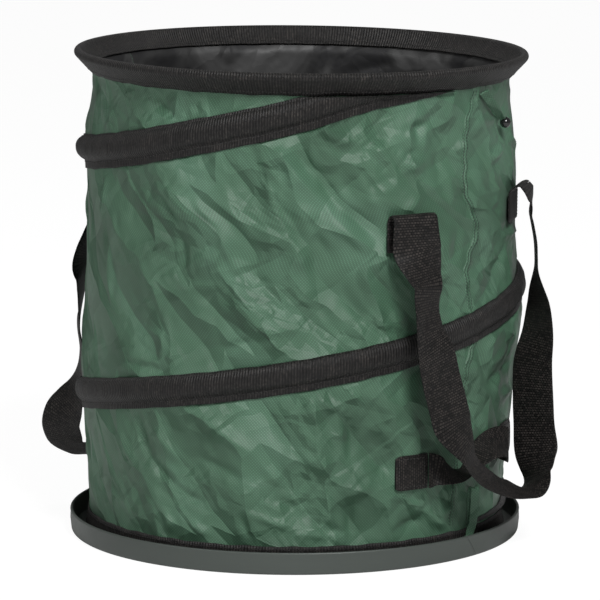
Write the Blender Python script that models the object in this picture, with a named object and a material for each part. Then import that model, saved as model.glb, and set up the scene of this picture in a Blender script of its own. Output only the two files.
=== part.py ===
"""Pop up leaf bag: a fabric drum held open by a coiled spring wire, standing in a tray.

Metres, +Z up. The origin is the centre of the tray's underside. +X runs through the
right side seam, where the right handles, toggle and closure loop are; the left set
faces -X. -Y is the front panel's side.
"""

import math

import bmesh
import bpy
from mathutils import Matrix, Vector

# Overall sizes
bag_height = 0.495
tray_radius = 0.230

# Cloth, tape, wire and the gap between touching pieces
fabric_thick = 0.001
tape_thick = 0.001
wire_radius = 0.002
gap = 0.0003
round_steps = 36

# Tray, with the holes for its rivets
tray_height = 0.0225
tray_draft = 0.002
tray_floor = 0.0025
tray_wall = 0.003
tray_round = 0.003
foot_room = 0.0165
rivet_count = 4
rivet_circle_radius = 0.150
rivet_shank_radius = 0.0025
rivet_head_radius = 0.005
rivet_head_height = 0.0012
rivet_tail_radius = 0.0042
rivet_tail_height = 0.0008
rivet_steps = 12
cut_overrun = 0.002

# Fabric wall: how far it swells, draws in and flares from its radius at the foot
floor_panel_thick = 0.0015
wall_swell = 0.0040
neck_draw = 0.0002
rim_flare = 0.0188
swell_height = 0.110
taper_height = 0.110
neck_lead = 0.008
wall_blend_shares = (0.25, 0.5, 0.75, 1.0)
seam_gap = 0.0003

# Hem round the top hoop, and binding round the bottom hoop
hem_depth = 0.025
hem_foot_flare = 0.0015
binding_top = 0.0265
band_arc_steps = 8
ferrule_wall = 0.0005
ferrule_length = 0.030
hoop_joint_angle = math.radians(90.0)
hoop_end_gap = 0.0008
wire_sides = 8

# Coil of spring wire and the tape tunnel that it runs in
coil_turns = 2.0
coil_start_angle = math.radians(-4.5)
coil_lead = 0.0087
coil_ease_share = 0.197
casing_width = 0.034
casing_tape = 0.0014
casing_gap = 0.0004
casing_crest = 0.0030
casing_tip_width = 0.0030
casing_end_back = 0.045
wire_end_room = 0.0055
casing_side_share = 0.2
casing_seam_share = 0.24

# Carry handles: webbing sewn on at both ends, folded over and hanging as a loop
strap_thick = 0.0018
carry_width = 0.050
carry_spread_angle = math.radians(22.5)
carry_patch_height = 0.033
carry_fold_reach = 0.014
carry_fold_round = 0.004
carry_fold_steps = 3
carry_fold_height_near = 0.345
carry_fold_height_far = 0.361
carry_loop_bottom = 0.055
carry_loop_reach = 0.0525
carry_left_bottom = 0.062
carry_steps_per_span = 2
casing_clearance = 0.003

# Rows of the right carry handle's route, from its front end to its back end.
# Each row: angle as a share of the spread, drop from the fold as a share of the
# loop's depth, reach as a share of the way out, and twist as a share of a half turn.
carry_right_route_shares = (
    (-1.00, 0.000, 0.00, -0.125),
    (-0.998, 0.035, 0.075, -0.115),
    (-0.99, 0.085, 0.135, -0.03),
    (-0.97, 0.155, 0.17, 0.02),
    (-0.91, 0.310, 0.24, 0.07),
    (-0.82, 0.500, 0.34, 0.13),
    (-0.69, 0.690, 0.50, 0.21),
    (-0.53, 0.850, 0.69, 0.32),
    (-0.30, 0.960, 0.90, 0.43),
    (0.00, 1.000, 1.00, 0.50),
    (0.31, 0.990, 1.00, 0.52),
    (0.60, 0.915, 0.96, 0.57),
    (0.78, 0.790, 0.88, 0.62),
    (0.89, 0.625, 0.77, 0.67),
    (0.955, 0.445, 0.64, 0.74),
    (0.99, 0.280, 0.44, 0.84),
    (1.00, 0.155, 0.23, 0.95),
    (1.00, 0.085, 0.145, 1.03),
    (1.00, 0.035, 0.075, 1.115),
    (1.00, 0.000, 0.00, 1.125),
)

# The left carry handle's route, in the same columns, from its back end to its front end.
carry_left_route_shares = (
    (-1.00, 0.000, 0.00, -0.125),
    (-0.998, 0.040, 0.075, -0.115),
    (-0.99, 0.100, 0.145, -0.03),
    (-0.97, 0.170, 0.18, 0.02),
    (-0.91, 0.350, 0.36, 0.08),
    (-0.82, 0.550, 0.53, 0.15),
    (-0.66, 0.770, 0.72, 0.26),
    (-0.42, 0.920, 0.88, 0.38),
    (-0.08, 0.990, 0.98, 0.48),
    (0.35, 1.000, 1.03, 0.52),
    (0.68, 0.965, 1.00, 0.57),
    (0.86, 0.870, 0.88, 0.63),
    (0.86, 0.720, 0.70, 0.70),
    (0.80, 0.560, 0.52, 0.80),
    (0.82, 0.400, 0.38, 0.88),
    (0.88, 0.250, 0.28, 0.94),
    (0.95, 0.140, 0.19, 0.99),
    (0.98, 0.095, 0.145, 1.03),
    (0.997, 0.040, 0.075, 1.115),
    (1.00, 0.000, 0.00, 1.125),
)

# Dump handles: shorter webbing, sewn on level near the foot of the wall
dump_width = 0.035
dump_fold_angle = math.radians(17.1)
dump_end_angle = math.radians(27.3)
dump_height_near = 0.0945
dump_height_far = 0.1035
dump_reach = 0.0225
dump_arch_steps = 12
dump_patch_steps = 3

# Toggles: a bead on a folded strip under the hem
toggle_angle = math.radians(5.0)
toggle_strip_width = 0.009
toggle_strip_thick = 0.0015
toggle_slant = 0.035
toggle_drop = 0.041
toggle_start_back = 0.0035
toggle_bead_radius = 0.006
toggle_bead_clear = 0.0025
toggle_bead_segments = 14
toggle_bead_rings = 9
toggle_strip_out = 0.0008

# Closure loops: a folded strip standing above the bottom binding
closure_angle = math.radians(-1.0)
closure_width = 0.009
closure_thick = 0.001
closure_slot = 0.0052
closure_height = 0.040
closure_hinge_share = 0.93
closure_outline_shares = (
    (0.50, 0.00),
    (0.18, 0.04),
    (0.00, 0.16),
    (0.00, 0.80),
    (0.15, 0.95),
    (0.50, 1.00),
    (0.85, 0.95),
    (1.00, 0.80),
    (1.00, 0.16),
    (0.82, 0.04),
)

# Derived sizes
full_turn = 2.0 * math.pi
half_turn = math.pi
station_angle = full_turn / round_steps
half_slot = fabric_thick / 2.0 + gap
half_band = half_slot + tape_thick
foot_radius = tray_radius - tray_wall - foot_room
wall_radius = foot_radius + wall_swell
neck_radius = foot_radius - neck_draw
rim_radius = foot_radius + rim_flare
ferrule_radius = wire_radius + gap + ferrule_wall
tunnel_radius = (ferrule_radius + gap) / math.cos(half_turn / band_arc_steps)
band_radius = tunnel_radius + tape_thick
top_hoop_radius = rim_radius - band_radius
top_hoop_height = bag_height - band_radius
foot_mid_radius = foot_radius - fabric_thick / 2.0
bottom_hoop_height = tray_floor + gap + band_radius
neck_mid_radius = neck_radius - fabric_thick / 2.0
hem_foot_radius = neck_mid_radius + hem_foot_flare
casing_proud = 2.0 * (wire_radius + gap)
casing_reach = casing_width / 2.0 + wire_end_room - casing_tip_width
carry_hinge_radius = wall_radius + carry_fold_reach

# Finishes: colour, roughness and metallic value of each kind of surface
finishes = {
    "green_fabric": ((0.075, 0.140, 0.095), 0.60, 0.0),
    "coated_lining": ((0.030, 0.030, 0.030), 0.35, 0.0),
    "black_tape": ((0.025, 0.022, 0.020), 0.80, 0.0),
    "black_webbing": ((0.028, 0.025, 0.023), 0.75, 0.0),
    "tray_plastic": ((0.075, 0.085, 0.078), 0.45, 0.0),
    "black_plastic": ((0.015, 0.015, 0.015), 0.25, 0.0),
    "spring_steel": ((0.300, 0.300, 0.310), 0.35, 1.0),
    "zinc_steel": ((0.450, 0.450, 0.460), 0.30, 1.0),
}


def clear_scene():
    """Remove whatever the scene holds."""
    for old in list(bpy.data.objects):
        bpy.data.objects.remove(old, do_unlink=True)


def material_for(name, finish):
    """A Principled material of one finish, for one piece."""
    colour, roughness, metallic = finishes[finish]
    material = bpy.data.materials.new(name)
    material.use_nodes = True
    shader = material.node_tree.nodes["Principled BSDF"]
    shader.inputs["Base Color"].default_value = (*colour, 1.0)
    shader.inputs["Roughness"].default_value = roughness
    shader.inputs["Metallic"].default_value = metallic
    material.diffuse_color = (*colour, 1.0)
    return material


def add_piece(name, bm, finish, origin=(0.0, 0.0, 0.0), smooth=True):
    """Put a finished bmesh into the scene, with its object's origin at a place."""
    bmesh.ops.recalc_face_normals(bm, faces=bm.faces)
    mesh = bpy.data.meshes.new(name)
    bm.to_mesh(mesh)
    bm.free()
    mesh.transform(Matrix.Translation(-Vector(origin)))
    mesh.materials.append(material_for(name, finish))
    if smooth:
        mesh.shade_smooth()
        mesh.set_sharp_from_angle(angle=math.radians(40.0))
    piece = bpy.data.objects.new(name, mesh)
    piece.location = origin
    bpy.context.scene.collection.objects.link(piece)
    return piece


def around(angle):
    """Outward and along-the-wall unit vectors at an angle about the bag's axis."""
    outward = Vector((math.cos(angle), math.sin(angle), 0.0))
    along = Vector((-math.sin(angle), math.cos(angle), 0.0))
    return outward, along


def at(angle, radius, height):
    """The point at an angle, a radius and a height."""
    outward, _ = around(angle)
    return outward * radius + Vector((0.0, 0.0, height))


def chord_radius(radius, angle):
    """Radius of a faceted ring at an angle: its corners stand at the stations."""
    past = math.fmod(math.fmod(angle, station_angle) + station_angle, station_angle)
    return radius * math.cos(station_angle / 2.0) / math.cos(past - station_angle / 2.0)


# Turned and carried shapes


def turned(bm, outline, closed, steps, centre=(0.0, 0.0)):
    """Turn (radius, height) points once round an upright axis."""
    x, y = centre
    corners = [bm.verts.new((x + radius, y, height)) for radius, height in outline]
    pairs = list(zip(corners, corners[1:]))
    if closed:
        pairs.append((corners[-1], corners[0]))
    edges = [bm.edges.new(pair) for pair in pairs]
    bmesh.ops.spin(
        bm, geom=corners + edges, cent=(x, y, 0.0), axis=(0.0, 0.0, 1.0),
        angle=full_turn, steps=steps, use_merge=True,
    )
    bmesh.ops.remove_doubles(bm, verts=bm.verts, dist=gap / 10.0)


def join_rings(bm, rings, closed_path=False):
    """Skin a run of rings that have as many corners each, and return their vertices."""
    made = [[bm.verts.new(point) for point in ring] for ring in rings]
    spans = list(zip(made, made[1:]))
    if closed_path:
        spans.append((made[-1], made[0]))
    for first, second in spans:
        count = len(first)
        for i in range(count):
            j = (i + 1) % count
            bm.faces.new((first[i], first[j], second[j], second[i]))
    return made


def carried(bm, rings):
    """Skin a run of rings and close both ends."""
    made = join_rings(bm, rings)
    bm.faces.new(made[0])
    bm.faces.new(made[-1])


def round_ring(angle, radius, height, ring_radius, sides=wire_sides):
    """A round section standing in the upright plane at an angle."""
    outward, _ = around(angle)
    middle = at(angle, radius, height)
    ring = []
    for side in range(sides):
        turn = full_turn * side / sides
        ring.append(
            middle
            + outward * (ring_radius * math.cos(turn))
            + Vector((0.0, 0.0, ring_radius * math.sin(turn)))
        )
    return ring


def flat_ring(middle, width_way, thick_way, width, thick):
    """A strap's section: a rectangle about a middle point."""
    half_width = width_way * (width / 2.0)
    half_thick = thick_way * (thick / 2.0)
    return [
        middle - half_width - half_thick,
        middle + half_width - half_thick,
        middle + half_width + half_thick,
        middle - half_width + half_thick,
    ]


def strap_run(bm, middles, width_ways, width, thick, squared=True):
    """A strap through middle points, its width along given ways.

    Between its ends the width is turned square to the route, where that is asked for.
    The ends are cut along their own given way, so that they can lie on a fold line.
    """
    rings = []
    last = len(middles) - 1
    for i, middle in enumerate(middles):
        route = (middles[min(i + 1, last)] - middles[max(i - 1, 0)]).normalized()
        width_way = width_ways[i]
        if squared and 0 < i < last:
            width_way = width_way - route * width_way.dot(route)
        width_way = width_way.normalized()
        thick_way = route.cross(width_way).normalized()
        rings.append(flat_ring(middle, width_way, thick_way, width, thick))
    carried(bm, rings)


def smooth_rows(rows, steps):
    """Rows read from a smooth curve through given rows, with steps in each span."""
    read = []
    last = len(rows) - 1
    for i in range(last):
        before = rows[max(i - 1, 0)]
        first = rows[i]
        second = rows[i + 1]
        after = rows[min(i + 2, last)]
        for step in range(steps):
            t = step / steps
            read.append(tuple(
                0.5 * (2.0 * b + (c - a) * t + (2.0 * a - 5.0 * b + 4.0 * c - d) * t ** 2
                       + (3.0 * b - a - 3.0 * c + d) * t ** 3)
                for a, b, c, d in zip(before, first, second, after)
            ))
    read.append(tuple(rows[last]))
    return read


# Lines that several pieces share


def hem_line():
    """Middle line of the hem in (radius, height): its lower edge and its hoop."""
    hoop = Vector((top_hoop_radius, top_hoop_height))
    lowest = bag_height - hem_depth
    slope = math.atan2(top_hoop_radius - hem_foot_radius, top_hoop_height - lowest)
    edge = Vector((hem_foot_radius, lowest + half_band * math.sin(slope)))
    return edge, hoop


def line_ways(edge, hoop):
    """Unit vectors along a band towards its hoop, and square to it, away from the axis."""
    up = (hoop - edge).normalized()
    across = Vector((abs(up.y), -up.x if up.y > 0.0 else up.x))
    return up, across


def wall_line():
    """Outside of the fabric in (radius, height), from the binding up to the hem."""
    edge, hoop = hem_line()
    up, across = line_ways(edge, hoop)
    neck_height = bag_height - hem_depth - neck_lead
    line = [(foot_radius, binding_top)]
    for share in wall_blend_shares:
        eased = share * share * (3.0 - 2.0 * share)
        line.append((
            foot_radius + (wall_radius - foot_radius) * eased,
            binding_top + swell_height * share,
        ))
    line.append((wall_radius, neck_height - taper_height))
    for share in wall_blend_shares:
        eased = share * share * (3.0 - 2.0 * share)
        line.append((
            wall_radius + (neck_radius - wall_radius) * eased,
            neck_height - taper_height + taper_height * share,
        ))
    top = edge + across * (fabric_thick / 2.0)
    line.append((top.x, top.y))
    return line


def wall_outside(height):
    """Radius of the fabric's outside at a height."""
    line = wall_line()
    if height <= line[0][1]:
        return line[0][0]
    for (radius, low), (next_radius, high) in zip(line, line[1:]):
        if height <= high:
            return radius + (next_radius - radius) * (height - low) / (high - low)
    return line[-1][0]


def widest_wall(low, high):
    """Largest radius of the fabric's outside between two heights."""
    between = [radius for radius, height in wall_line() if low < height < high]
    return max(between + [wall_outside(low), wall_outside(high)])


def coil_height(travel):
    """Height of the coil's wire after an angle of travel from its start at the hem."""
    start = top_hoop_height - coil_lead
    end = bottom_hoop_height + coil_lead
    share = travel / (coil_turns * full_turn)
    return start - (start - end) * ((1.0 + coil_ease_share) * share - coil_ease_share * share ** 2)


def coil_limits():
    """Highest and lowest levels at which the wire has room beside the hem and binding."""
    return bag_height - hem_depth - wire_end_room, binding_top + wire_end_room


def coil_stations(reach):
    """Angles of travel where the wire is within a reach past its highest and lowest level."""
    highest, lowest = coil_limits()
    longest = coil_turns * full_turn - casing_end_back / foot_radius
    stations = []
    for step in range(int(longest / station_angle) + 2):
        travel = step * station_angle + coil_start_angle
        if travel <= longest and lowest - reach <= coil_height(travel) <= highest + reach:
            stations.append(travel)
    return stations


def coil_angle(travel):
    """Angle about the bag's axis after an angle of travel: the coil runs clockwise."""
    return coil_start_angle - travel


def coil_radius(height):
    """Radius of the coil's wire at a height: it lies on the wall."""
    return wall_outside(height) + gap + wire_radius


def under_casing(angle, spread, turn):
    """Highest level just below the casing, over a spread of angle, on a given turn."""
    travel = math.fmod(coil_start_angle - angle + 2.0 * full_turn, full_turn)
    travel += turn * full_turn
    lowest = coil_height(travel + spread)
    return lowest - casing_width / 2.0 - casing_clearance


# Tray


def tray_outline():
    """Half section of the tray, from its centre underneath to its centre inside."""
    foot = tray_radius - tray_draft
    inner = tray_radius - tray_wall
    inner_foot = foot - tray_wall
    bevel = tray_round * (1.0 - math.sqrt(0.5))
    return [
        (0.0, 0.0),
        (foot - tray_round, 0.0),
        (foot - bevel, bevel),
        (foot, tray_round),
        (tray_radius, tray_height),
        (inner, tray_height),
        (inner_foot, tray_floor + tray_wall),
        (inner_foot - tray_wall, tray_floor),
        (0.0, tray_floor),
    ]


def rivet_places():
    """Centres of the rivets on their circle."""
    places = []
    for i in range(rivet_count):
        angle = full_turn * (i + 0.5) / rivet_count
        places.append((rivet_circle_radius * math.cos(angle), rivet_circle_radius * math.sin(angle)))
    return places


def add_cutter(name, outline):
    """A hidden cutter of turned plugs, one at each rivet."""
    bm = bmesh.new()
    for place in rivet_places():
        turned(bm, outline, False, rivet_steps, place)
    cutter = add_piece(name, bm, "zinc_steel", smooth=False)
    cutter.hide_render = True
    cutter.display_type = "WIRE"
    return cutter


def cut(piece, cutter):
    """Take a cutter out of a piece."""
    boolean = piece.modifiers.new("rivet_holes", "BOOLEAN")
    boolean.operation = "DIFFERENCE"
    boolean.solver = "EXACT"
    boolean.object = cutter


def add_tray():
    """The shallow plastic tray that the bag stands in, counterbored for its rivets."""
    bm = bmesh.new()
    turned(bm, tray_outline(), False, round_steps)
    tray = add_piece("base_tray", bm, "tray_plastic")
    hole = rivet_shank_radius + gap
    bore = rivet_tail_radius + gap
    step = rivet_tail_height + 2.0 * gap
    cut(tray, add_cutter("tray_cutter", [
        (0.0, -cut_overrun),
        (bore, -cut_overrun),
        (bore, step),
        (hole, step),
        (hole, tray_floor + cut_overrun),
        (0.0, tray_floor + cut_overrun),
    ]))


def floor_panel_levels():
    """Underside and top of the bag's floor panel."""
    low = tray_floor + gap
    return low, low + floor_panel_thick


def add_floor_panel():
    """The bag's round floor, lying on the tray inside the bottom binding."""
    low, high = floor_panel_levels()
    radius = foot_mid_radius - band_radius - gap
    bm = bmesh.new()
    turned(bm, [(0.0, low), (radius, low), (radius, high), (0.0, high)], False, round_steps)
    panel = add_piece("floor_panel", bm, "coated_lining")
    hole = rivet_shank_radius + gap
    cut(panel, add_cutter("floor_cutter", [
        (0.0, low - cut_overrun),
        (hole, low - cut_overrun),
        (hole, high + cut_overrun),
        (0.0, high + cut_overrun),
    ]))


def add_rivets():
    """Rivets that hold the bag's floor to the tray."""
    _, seat = floor_panel_levels()
    seat += gap
    tail_top = gap + rivet_tail_height
    outline = [
        (0.0, gap),
        (rivet_tail_radius, gap),
        (rivet_tail_radius, tail_top),
        (rivet_shank_radius, tail_top),
        (rivet_shank_radius, seat),
        (rivet_head_radius, seat),
        (rivet_head_radius * math.sqrt(0.5), seat + rivet_head_height),
        (0.0, seat + rivet_head_height),
    ]
    for number, place in enumerate(rivet_places(), 1):
        bm = bmesh.new()
        turned(bm, outline, False, rivet_steps, place)
        add_piece(f"tray_rivet_{number}", bm, "zinc_steel", origin=(*place, 0.0))


# Fabric wall


def panel_outline():
    """Section of the fabric, up its outside and down its inside."""
    edge, hoop = hem_line()
    up, across = line_ways(edge, hoop)
    end = hoop - up * (tunnel_radius + gap)
    bottom = bottom_hoop_height + tunnel_radius + gap
    outside = [(foot_radius, bottom)] + wall_line()
    inside = [(radius - fabric_thick, height) for radius, height in outside[:-1]]
    half = across * (fabric_thick / 2.0)
    outside.append(tuple(end + half))
    inside += [tuple(edge - half), tuple(end - half)]
    return outside + inside[::-1]


def add_panel(name, start_angle):
    """Half of the fabric wall, from one side seam to the other."""
    outline = panel_outline()
    clear = seam_gap / (2.0 * wall_radius)
    steps = round_steps // 2
    rings = []
    for step in range(steps + 1):
        angle = start_angle + step * station_angle
        if step == 0:
            angle += clear
        if step == steps:
            angle -= clear
        rings.append([at(angle, radius, height) for radius, height in outline])
    bm = bmesh.new()
    carried(bm, rings)
    add_piece(name, bm, "green_fabric")


# Hem, binding, hoops and ferrules


def band_outline(edge, hoop):
    """Section of tape folded round a hoop, its two leaves closing on the fabric."""
    up, across = line_ways(edge, hoop)
    outer_from = math.asin(half_band / band_radius)
    inner_from = math.asin(half_slot / tunnel_radius)

    def arc(radius, start):
        sweep = full_turn - 2.0 * start
        points = []
        for step in range(band_arc_steps + 1):
            turn = start + sweep * step / band_arc_steps
            points.append(hoop - up * (radius * math.cos(turn)) + across * (radius * math.sin(turn)))
        return points

    points = [edge + across * half_band] + arc(band_radius, outer_from)
    points += [edge - across * half_band, edge - across * half_slot]
    points += arc(tunnel_radius, inner_from)[::-1] + [edge + across * half_slot]
    return [(point.x, point.y) for point in points]


def add_band(name, edge, hoop):
    """A folded band of tape, all the way round."""
    bm = bmesh.new()
    turned(bm, band_outline(edge, hoop), True, round_steps)
    add_piece(name, bm, "black_tape", origin=(0.0, 0.0, hoop.y))


def add_hoop(name, radius, height):
    """A hoop of wire, open where its ends meet inside the ferrule."""
    clear = hoop_end_gap / (2.0 * radius)
    rings = []
    for step in range(round_steps + 1):
        angle = hoop_joint_angle + step * station_angle
        if step == 0:
            angle += clear
        if step == round_steps:
            angle -= clear
        rings.append(round_ring(angle, radius, height, wire_radius))
    bm = bmesh.new()
    carried(bm, rings)
    add_piece(name, bm, "spring_steel", origin=(0.0, 0.0, height))


def add_ferrule(name, radius, height):
    """The sleeve crimped over a hoop's two ends."""
    half_angle = ferrule_length / (2.0 * radius)
    outer = []
    inner = []
    for angle in (hoop_joint_angle - half_angle, hoop_joint_angle, hoop_joint_angle + half_angle):
        middle = chord_radius(radius, angle)
        outer.append(round_ring(angle, middle, height, ferrule_radius))
        inner.append(round_ring(angle, middle, height, wire_radius + gap))
    bm = bmesh.new()
    join_rings(bm, outer + inner[::-1], closed_path=True)
    add_piece(name, bm, "zinc_steel", origin=(0.0, 0.0, height))


# Coiled spring and its casing


def add_coil():
    """The spring wire's free turns, from under the hem to above the binding."""
    rings = []
    for travel in coil_stations(0.0):
        height = coil_height(travel)
        rings.append(round_ring(coil_angle(travel), coil_radius(height), height, wire_radius))
    bm = bmesh.new()
    carried(bm, rings)
    add_piece("spiral_spring", bm, "spring_steel")


def casing_ring(travel):
    """Section of the casing: tape sewn to the wall along both edges, over the wire.

    Where the coil runs behind the hem or the binding, the tape is cut off by it and
    sinks down on the wall.
    """
    height = coil_height(travel)
    highest, lowest = coil_limits()
    low = max(height - casing_width / 2.0, binding_top + gap)
    high = min(height + casing_width / 2.0, bag_height - hem_depth - gap)
    width = high - low
    past = max(height - highest, lowest - height, 0.0)
    proud = casing_proud * max(0.0, 1.0 - past / casing_reach)
    crest_share = (height - low) / width
    crest_share = min(max(crest_share, casing_side_share), 1.0 - casing_side_share)
    half_share = casing_crest / casing_width
    levels = [
        0.0,
        crest_share * casing_seam_share,
        crest_share - half_share,
        crest_share + half_share,
        1.0 - (1.0 - crest_share) * casing_seam_share,
        1.0,
    ]
    lifts = [0.0, 0.0, proud, proud, 0.0, 0.0]
    inside = []
    outside = []
    for level, lift in zip(levels, lifts):
        z = low + width * level
        radius = wall_outside(z) + casing_gap + lift
        inside.append(at(coil_angle(travel), radius, z))
        outside.append(at(coil_angle(travel), radius + casing_tape, z))
    return inside + outside[::-1]


def add_casing():
    """The tape sewn over the coiled wire, with its ends tapering under hem and binding."""
    rings = [casing_ring(travel) for travel in coil_stations(casing_reach)]
    bm = bmesh.new()
    carried(bm, rings)
    add_piece("spiral_casing", bm, "black_tape")


# Carry handles


def carry_folds(side_angle):
    """Angle and height of a carry handle's two folds, first and second end."""
    angles = (side_angle - carry_spread_angle, side_angle + carry_spread_angle)
    if side_angle == 0.0:
        return list(zip(angles, (carry_fold_height_near, carry_fold_height_far)))
    spread = carry_width / (2.0 * wall_radius)
    lowest = min(under_casing(angle, spread, 0) for angle in angles)
    return [(angle, lowest - strap_thick / 2.0) for angle in angles]


def carry_points(side_angle):
    """The two folds' points, and the way from the first to the second."""
    first, second = [at(angle, carry_hinge_radius, height) for angle, height in carry_folds(side_angle)]
    return first, second, (second - first).normalized()


def carry_middle(side_angle):
    """Middle of the line through a carry handle's two folds, which it swings about."""
    first, second, _ = carry_points(side_angle)
    return (first + second) / 2.0


def add_carry_ends(names, side_angle):
    """The two sewn ends of a carry handle: a patch on the wall, folded out at its top.

    The fold turns as it comes out, so that its outer edge lies along the line that the
    handle swings about.
    """
    upright = Vector((0.0, 0.0, 1.0))
    _, _, hinge_way = carry_points(side_angle)
    for name, (angle, fold_height) in zip(names, carry_folds(side_angle)):
        outward, along = around(angle)
        patch_radius = wall_radius + gap + strap_thick / 2.0
        start = at(angle, patch_radius, fold_height - carry_fold_round)
        end = at(angle, carry_hinge_radius, fold_height - carry_fold_round)
        end -= hinge_way.cross(upright) * (strap_thick / 2.0 + gap)
        middles = [start - upright * (carry_patch_height - carry_fold_round)]
        width_ways = [along]
        for step in range(carry_fold_steps + 1):
            turn = half_turn / 2.0 * step / carry_fold_steps
            out = 1.0 - math.cos(turn)
            middles.append(start.lerp(end, out) + upright * (carry_fold_round * math.sin(turn)))
            width_ways.append(along.lerp(hinge_way, out))
        bm = bmesh.new()
        strap_run(bm, middles, width_ways, carry_width, strap_thick, squared=False)
        add_piece(name, bm, "black_webbing", origin=carry_middle(side_angle), smooth=False)


def add_carry_handle(name, side_angle, route_shares, bottom):
    """The hanging loop of a carry handle, from fold to fold."""
    (_, first_height), (_, second_height) = carry_folds(side_angle)
    reach = carry_loop_reach - carry_fold_reach
    middles = []
    width_ways = []
    for spread, drop, out, twist in smooth_rows(route_shares, carry_steps_per_span):
        angle = side_angle + carry_spread_angle * spread
        fold = first_height + (second_height - first_height) * (spread + 1.0) / 2.0
        outward, along = around(angle)
        turn = half_turn * twist
        middles.append(at(angle, carry_hinge_radius + reach * out, fold - (fold - bottom) * drop))
        width_ways.append(along * math.cos(turn) + outward * math.sin(turn))
    _, _, hinge_way = carry_points(side_angle)
    width_ways[0] = hinge_way
    width_ways[-1] = -hinge_way
    bm = bmesh.new()
    strap_run(bm, middles, width_ways, carry_width, strap_thick)
    add_piece(name, bm, "black_webbing", origin=carry_middle(side_angle), smooth=False)


# Dump handles


def dump_heights(side_angle):
    """Heights of a dump handle's two sewn ends."""
    if side_angle == 0.0:
        return dump_height_near, dump_height_far
    lowest = min(
        under_casing(side_angle - dump_end_angle, 0.0, 1),
        under_casing(side_angle + dump_end_angle, 0.0, 1),
    )
    return lowest - dump_width / 2.0, lowest - dump_width / 2.0


def dump_patch_radius(height):
    """Radius of a dump handle's sewn end, clear of the wall over its own height."""
    wall = widest_wall(height - dump_width / 2.0, height + dump_width / 2.0)
    return wall + casing_gap + strap_thick / 2.0


def dump_fold(side_angle, sign):
    """Where a dump handle leaves its sewn end: sign -1 or 1 is its first or second end."""
    height = dump_heights(side_angle)[0 if sign < 0 else 1]
    return at(side_angle + sign * dump_fold_angle, dump_patch_radius(height), height)


def add_dump_ends(names, side_angle):
    """The two sewn ends of a dump handle, flat round the wall."""
    upright = Vector((0.0, 0.0, 1.0))
    for name, sign, height in zip(names, (-1, 1), dump_heights(side_angle)):
        radius = dump_patch_radius(height)
        fold_angle = dump_fold_angle + (gap + strap_thick / 2.0) / radius
        middles = []
        for step in range(dump_patch_steps + 1):
            share = step / dump_patch_steps
            angle = dump_end_angle + (fold_angle - dump_end_angle) * share
            middles.append(at(side_angle + sign * angle, radius, height))
        bm = bmesh.new()
        strap_run(bm, middles, [upright] * len(middles), dump_width, strap_thick)
        add_piece(name, bm, "black_webbing", smooth=False)


def add_dump_handle(name, side_angle):
    """The free arch of a dump handle, standing off the wall between its ends."""
    first = dump_fold(side_angle, -1)
    second = dump_fold(side_angle, 1)
    outward, _ = around(side_angle)
    reach = wall_radius + dump_reach - (first + second).dot(outward) / 2.0
    upright = Vector((0.0, 0.0, 1.0))
    middles = []
    for step in range(dump_arch_steps + 1):
        share = step / dump_arch_steps
        bow = 1.0 - (2.0 * share - 1.0) ** 2
        middles.append(first.lerp(second, share) + outward * (reach * bow))
    bm = bmesh.new()
    strap_run(bm, middles, [upright] * len(middles), dump_width, strap_thick)
    add_piece(name, bm, "black_webbing", smooth=False)


# Toggles


def toggle_frame(side_angle):
    """Hinge point under the hem, and the outward and along ways of a toggle."""
    edge, hoop = hem_line()
    up, across = line_ways(edge, hoop)
    outer_edge = edge + across * half_band
    angle = side_angle + toggle_angle
    outward, along = around(angle)
    radius = chord_radius(outer_edge.x, angle) + toggle_strip_out
    return at(angle, radius, bag_height - hem_depth - gap), outward, along


def add_toggle(strip_name, bead_name, side_angle):
    """A folded strip hanging from the hem, with a bead on its end."""
    hinge, outward, along = toggle_frame(side_angle)
    upright = Vector((0.0, 0.0, 1.0))
    start = hinge - along * toggle_start_back
    slope = (along * toggle_slant - upright * toggle_drop).normalized()
    across = outward.cross(slope)
    corner_drop = upright * (abs(across.z) * toggle_strip_width / 2.0)
    start -= corner_drop
    sideways = toggle_slant - toggle_start_back
    bead_height = hinge.z - toggle_drop
    wall = widest_wall(bead_height - toggle_bead_radius, bead_height + toggle_bead_radius)
    bead_radius = wall + toggle_bead_clear + toggle_bead_radius
    bead = outward * math.sqrt(bead_radius ** 2 - sideways ** 2) + along * sideways
    bead += upright * bead_height
    end = bead - (bead - start).normalized() * (toggle_bead_radius + gap)
    bm = bmesh.new()
    strap_run(bm, [start, end], [across, across], toggle_strip_width, toggle_strip_thick)
    add_piece(strip_name, bm, "green_fabric", origin=hinge, smooth=False)
    bm = bmesh.new()
    bmesh.ops.create_uvsphere(
        bm, u_segments=toggle_bead_segments, v_segments=toggle_bead_rings,
        radius=toggle_bead_radius, matrix=Matrix.Translation(bead),
    )
    add_piece(bead_name, bm, "black_plastic", origin=hinge)


# Closure loops


def add_closure_loop(name, side_angle):
    """A strip folded into an upright loop, just above the bottom binding."""
    angle = side_angle + closure_angle
    outward, along = around(angle)
    width = closure_slot + closure_thick
    low = binding_top + gap + closure_thick / 2.0
    inner = widest_wall(low, low + closure_height) + casing_gap + closure_thick / 2.0
    middles = [
        at(angle, inner + width * across, low + closure_height * up)
        for across, up in closure_outline_shares
    ]
    rings = []
    count = len(middles)
    for i, middle in enumerate(middles):
        route = (middles[(i + 1) % count] - middles[i - 1]).normalized()
        rings.append(flat_ring(middle, along, route.cross(along), closure_width, closure_thick))
    bm = bmesh.new()
    join_rings(bm, rings, closed_path=True)
    hinge = at(angle, inner + width * closure_hinge_share, low + closure_thick / 2.0)
    add_piece(name, bm, "green_fabric", origin=hinge, smooth=False)


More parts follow.
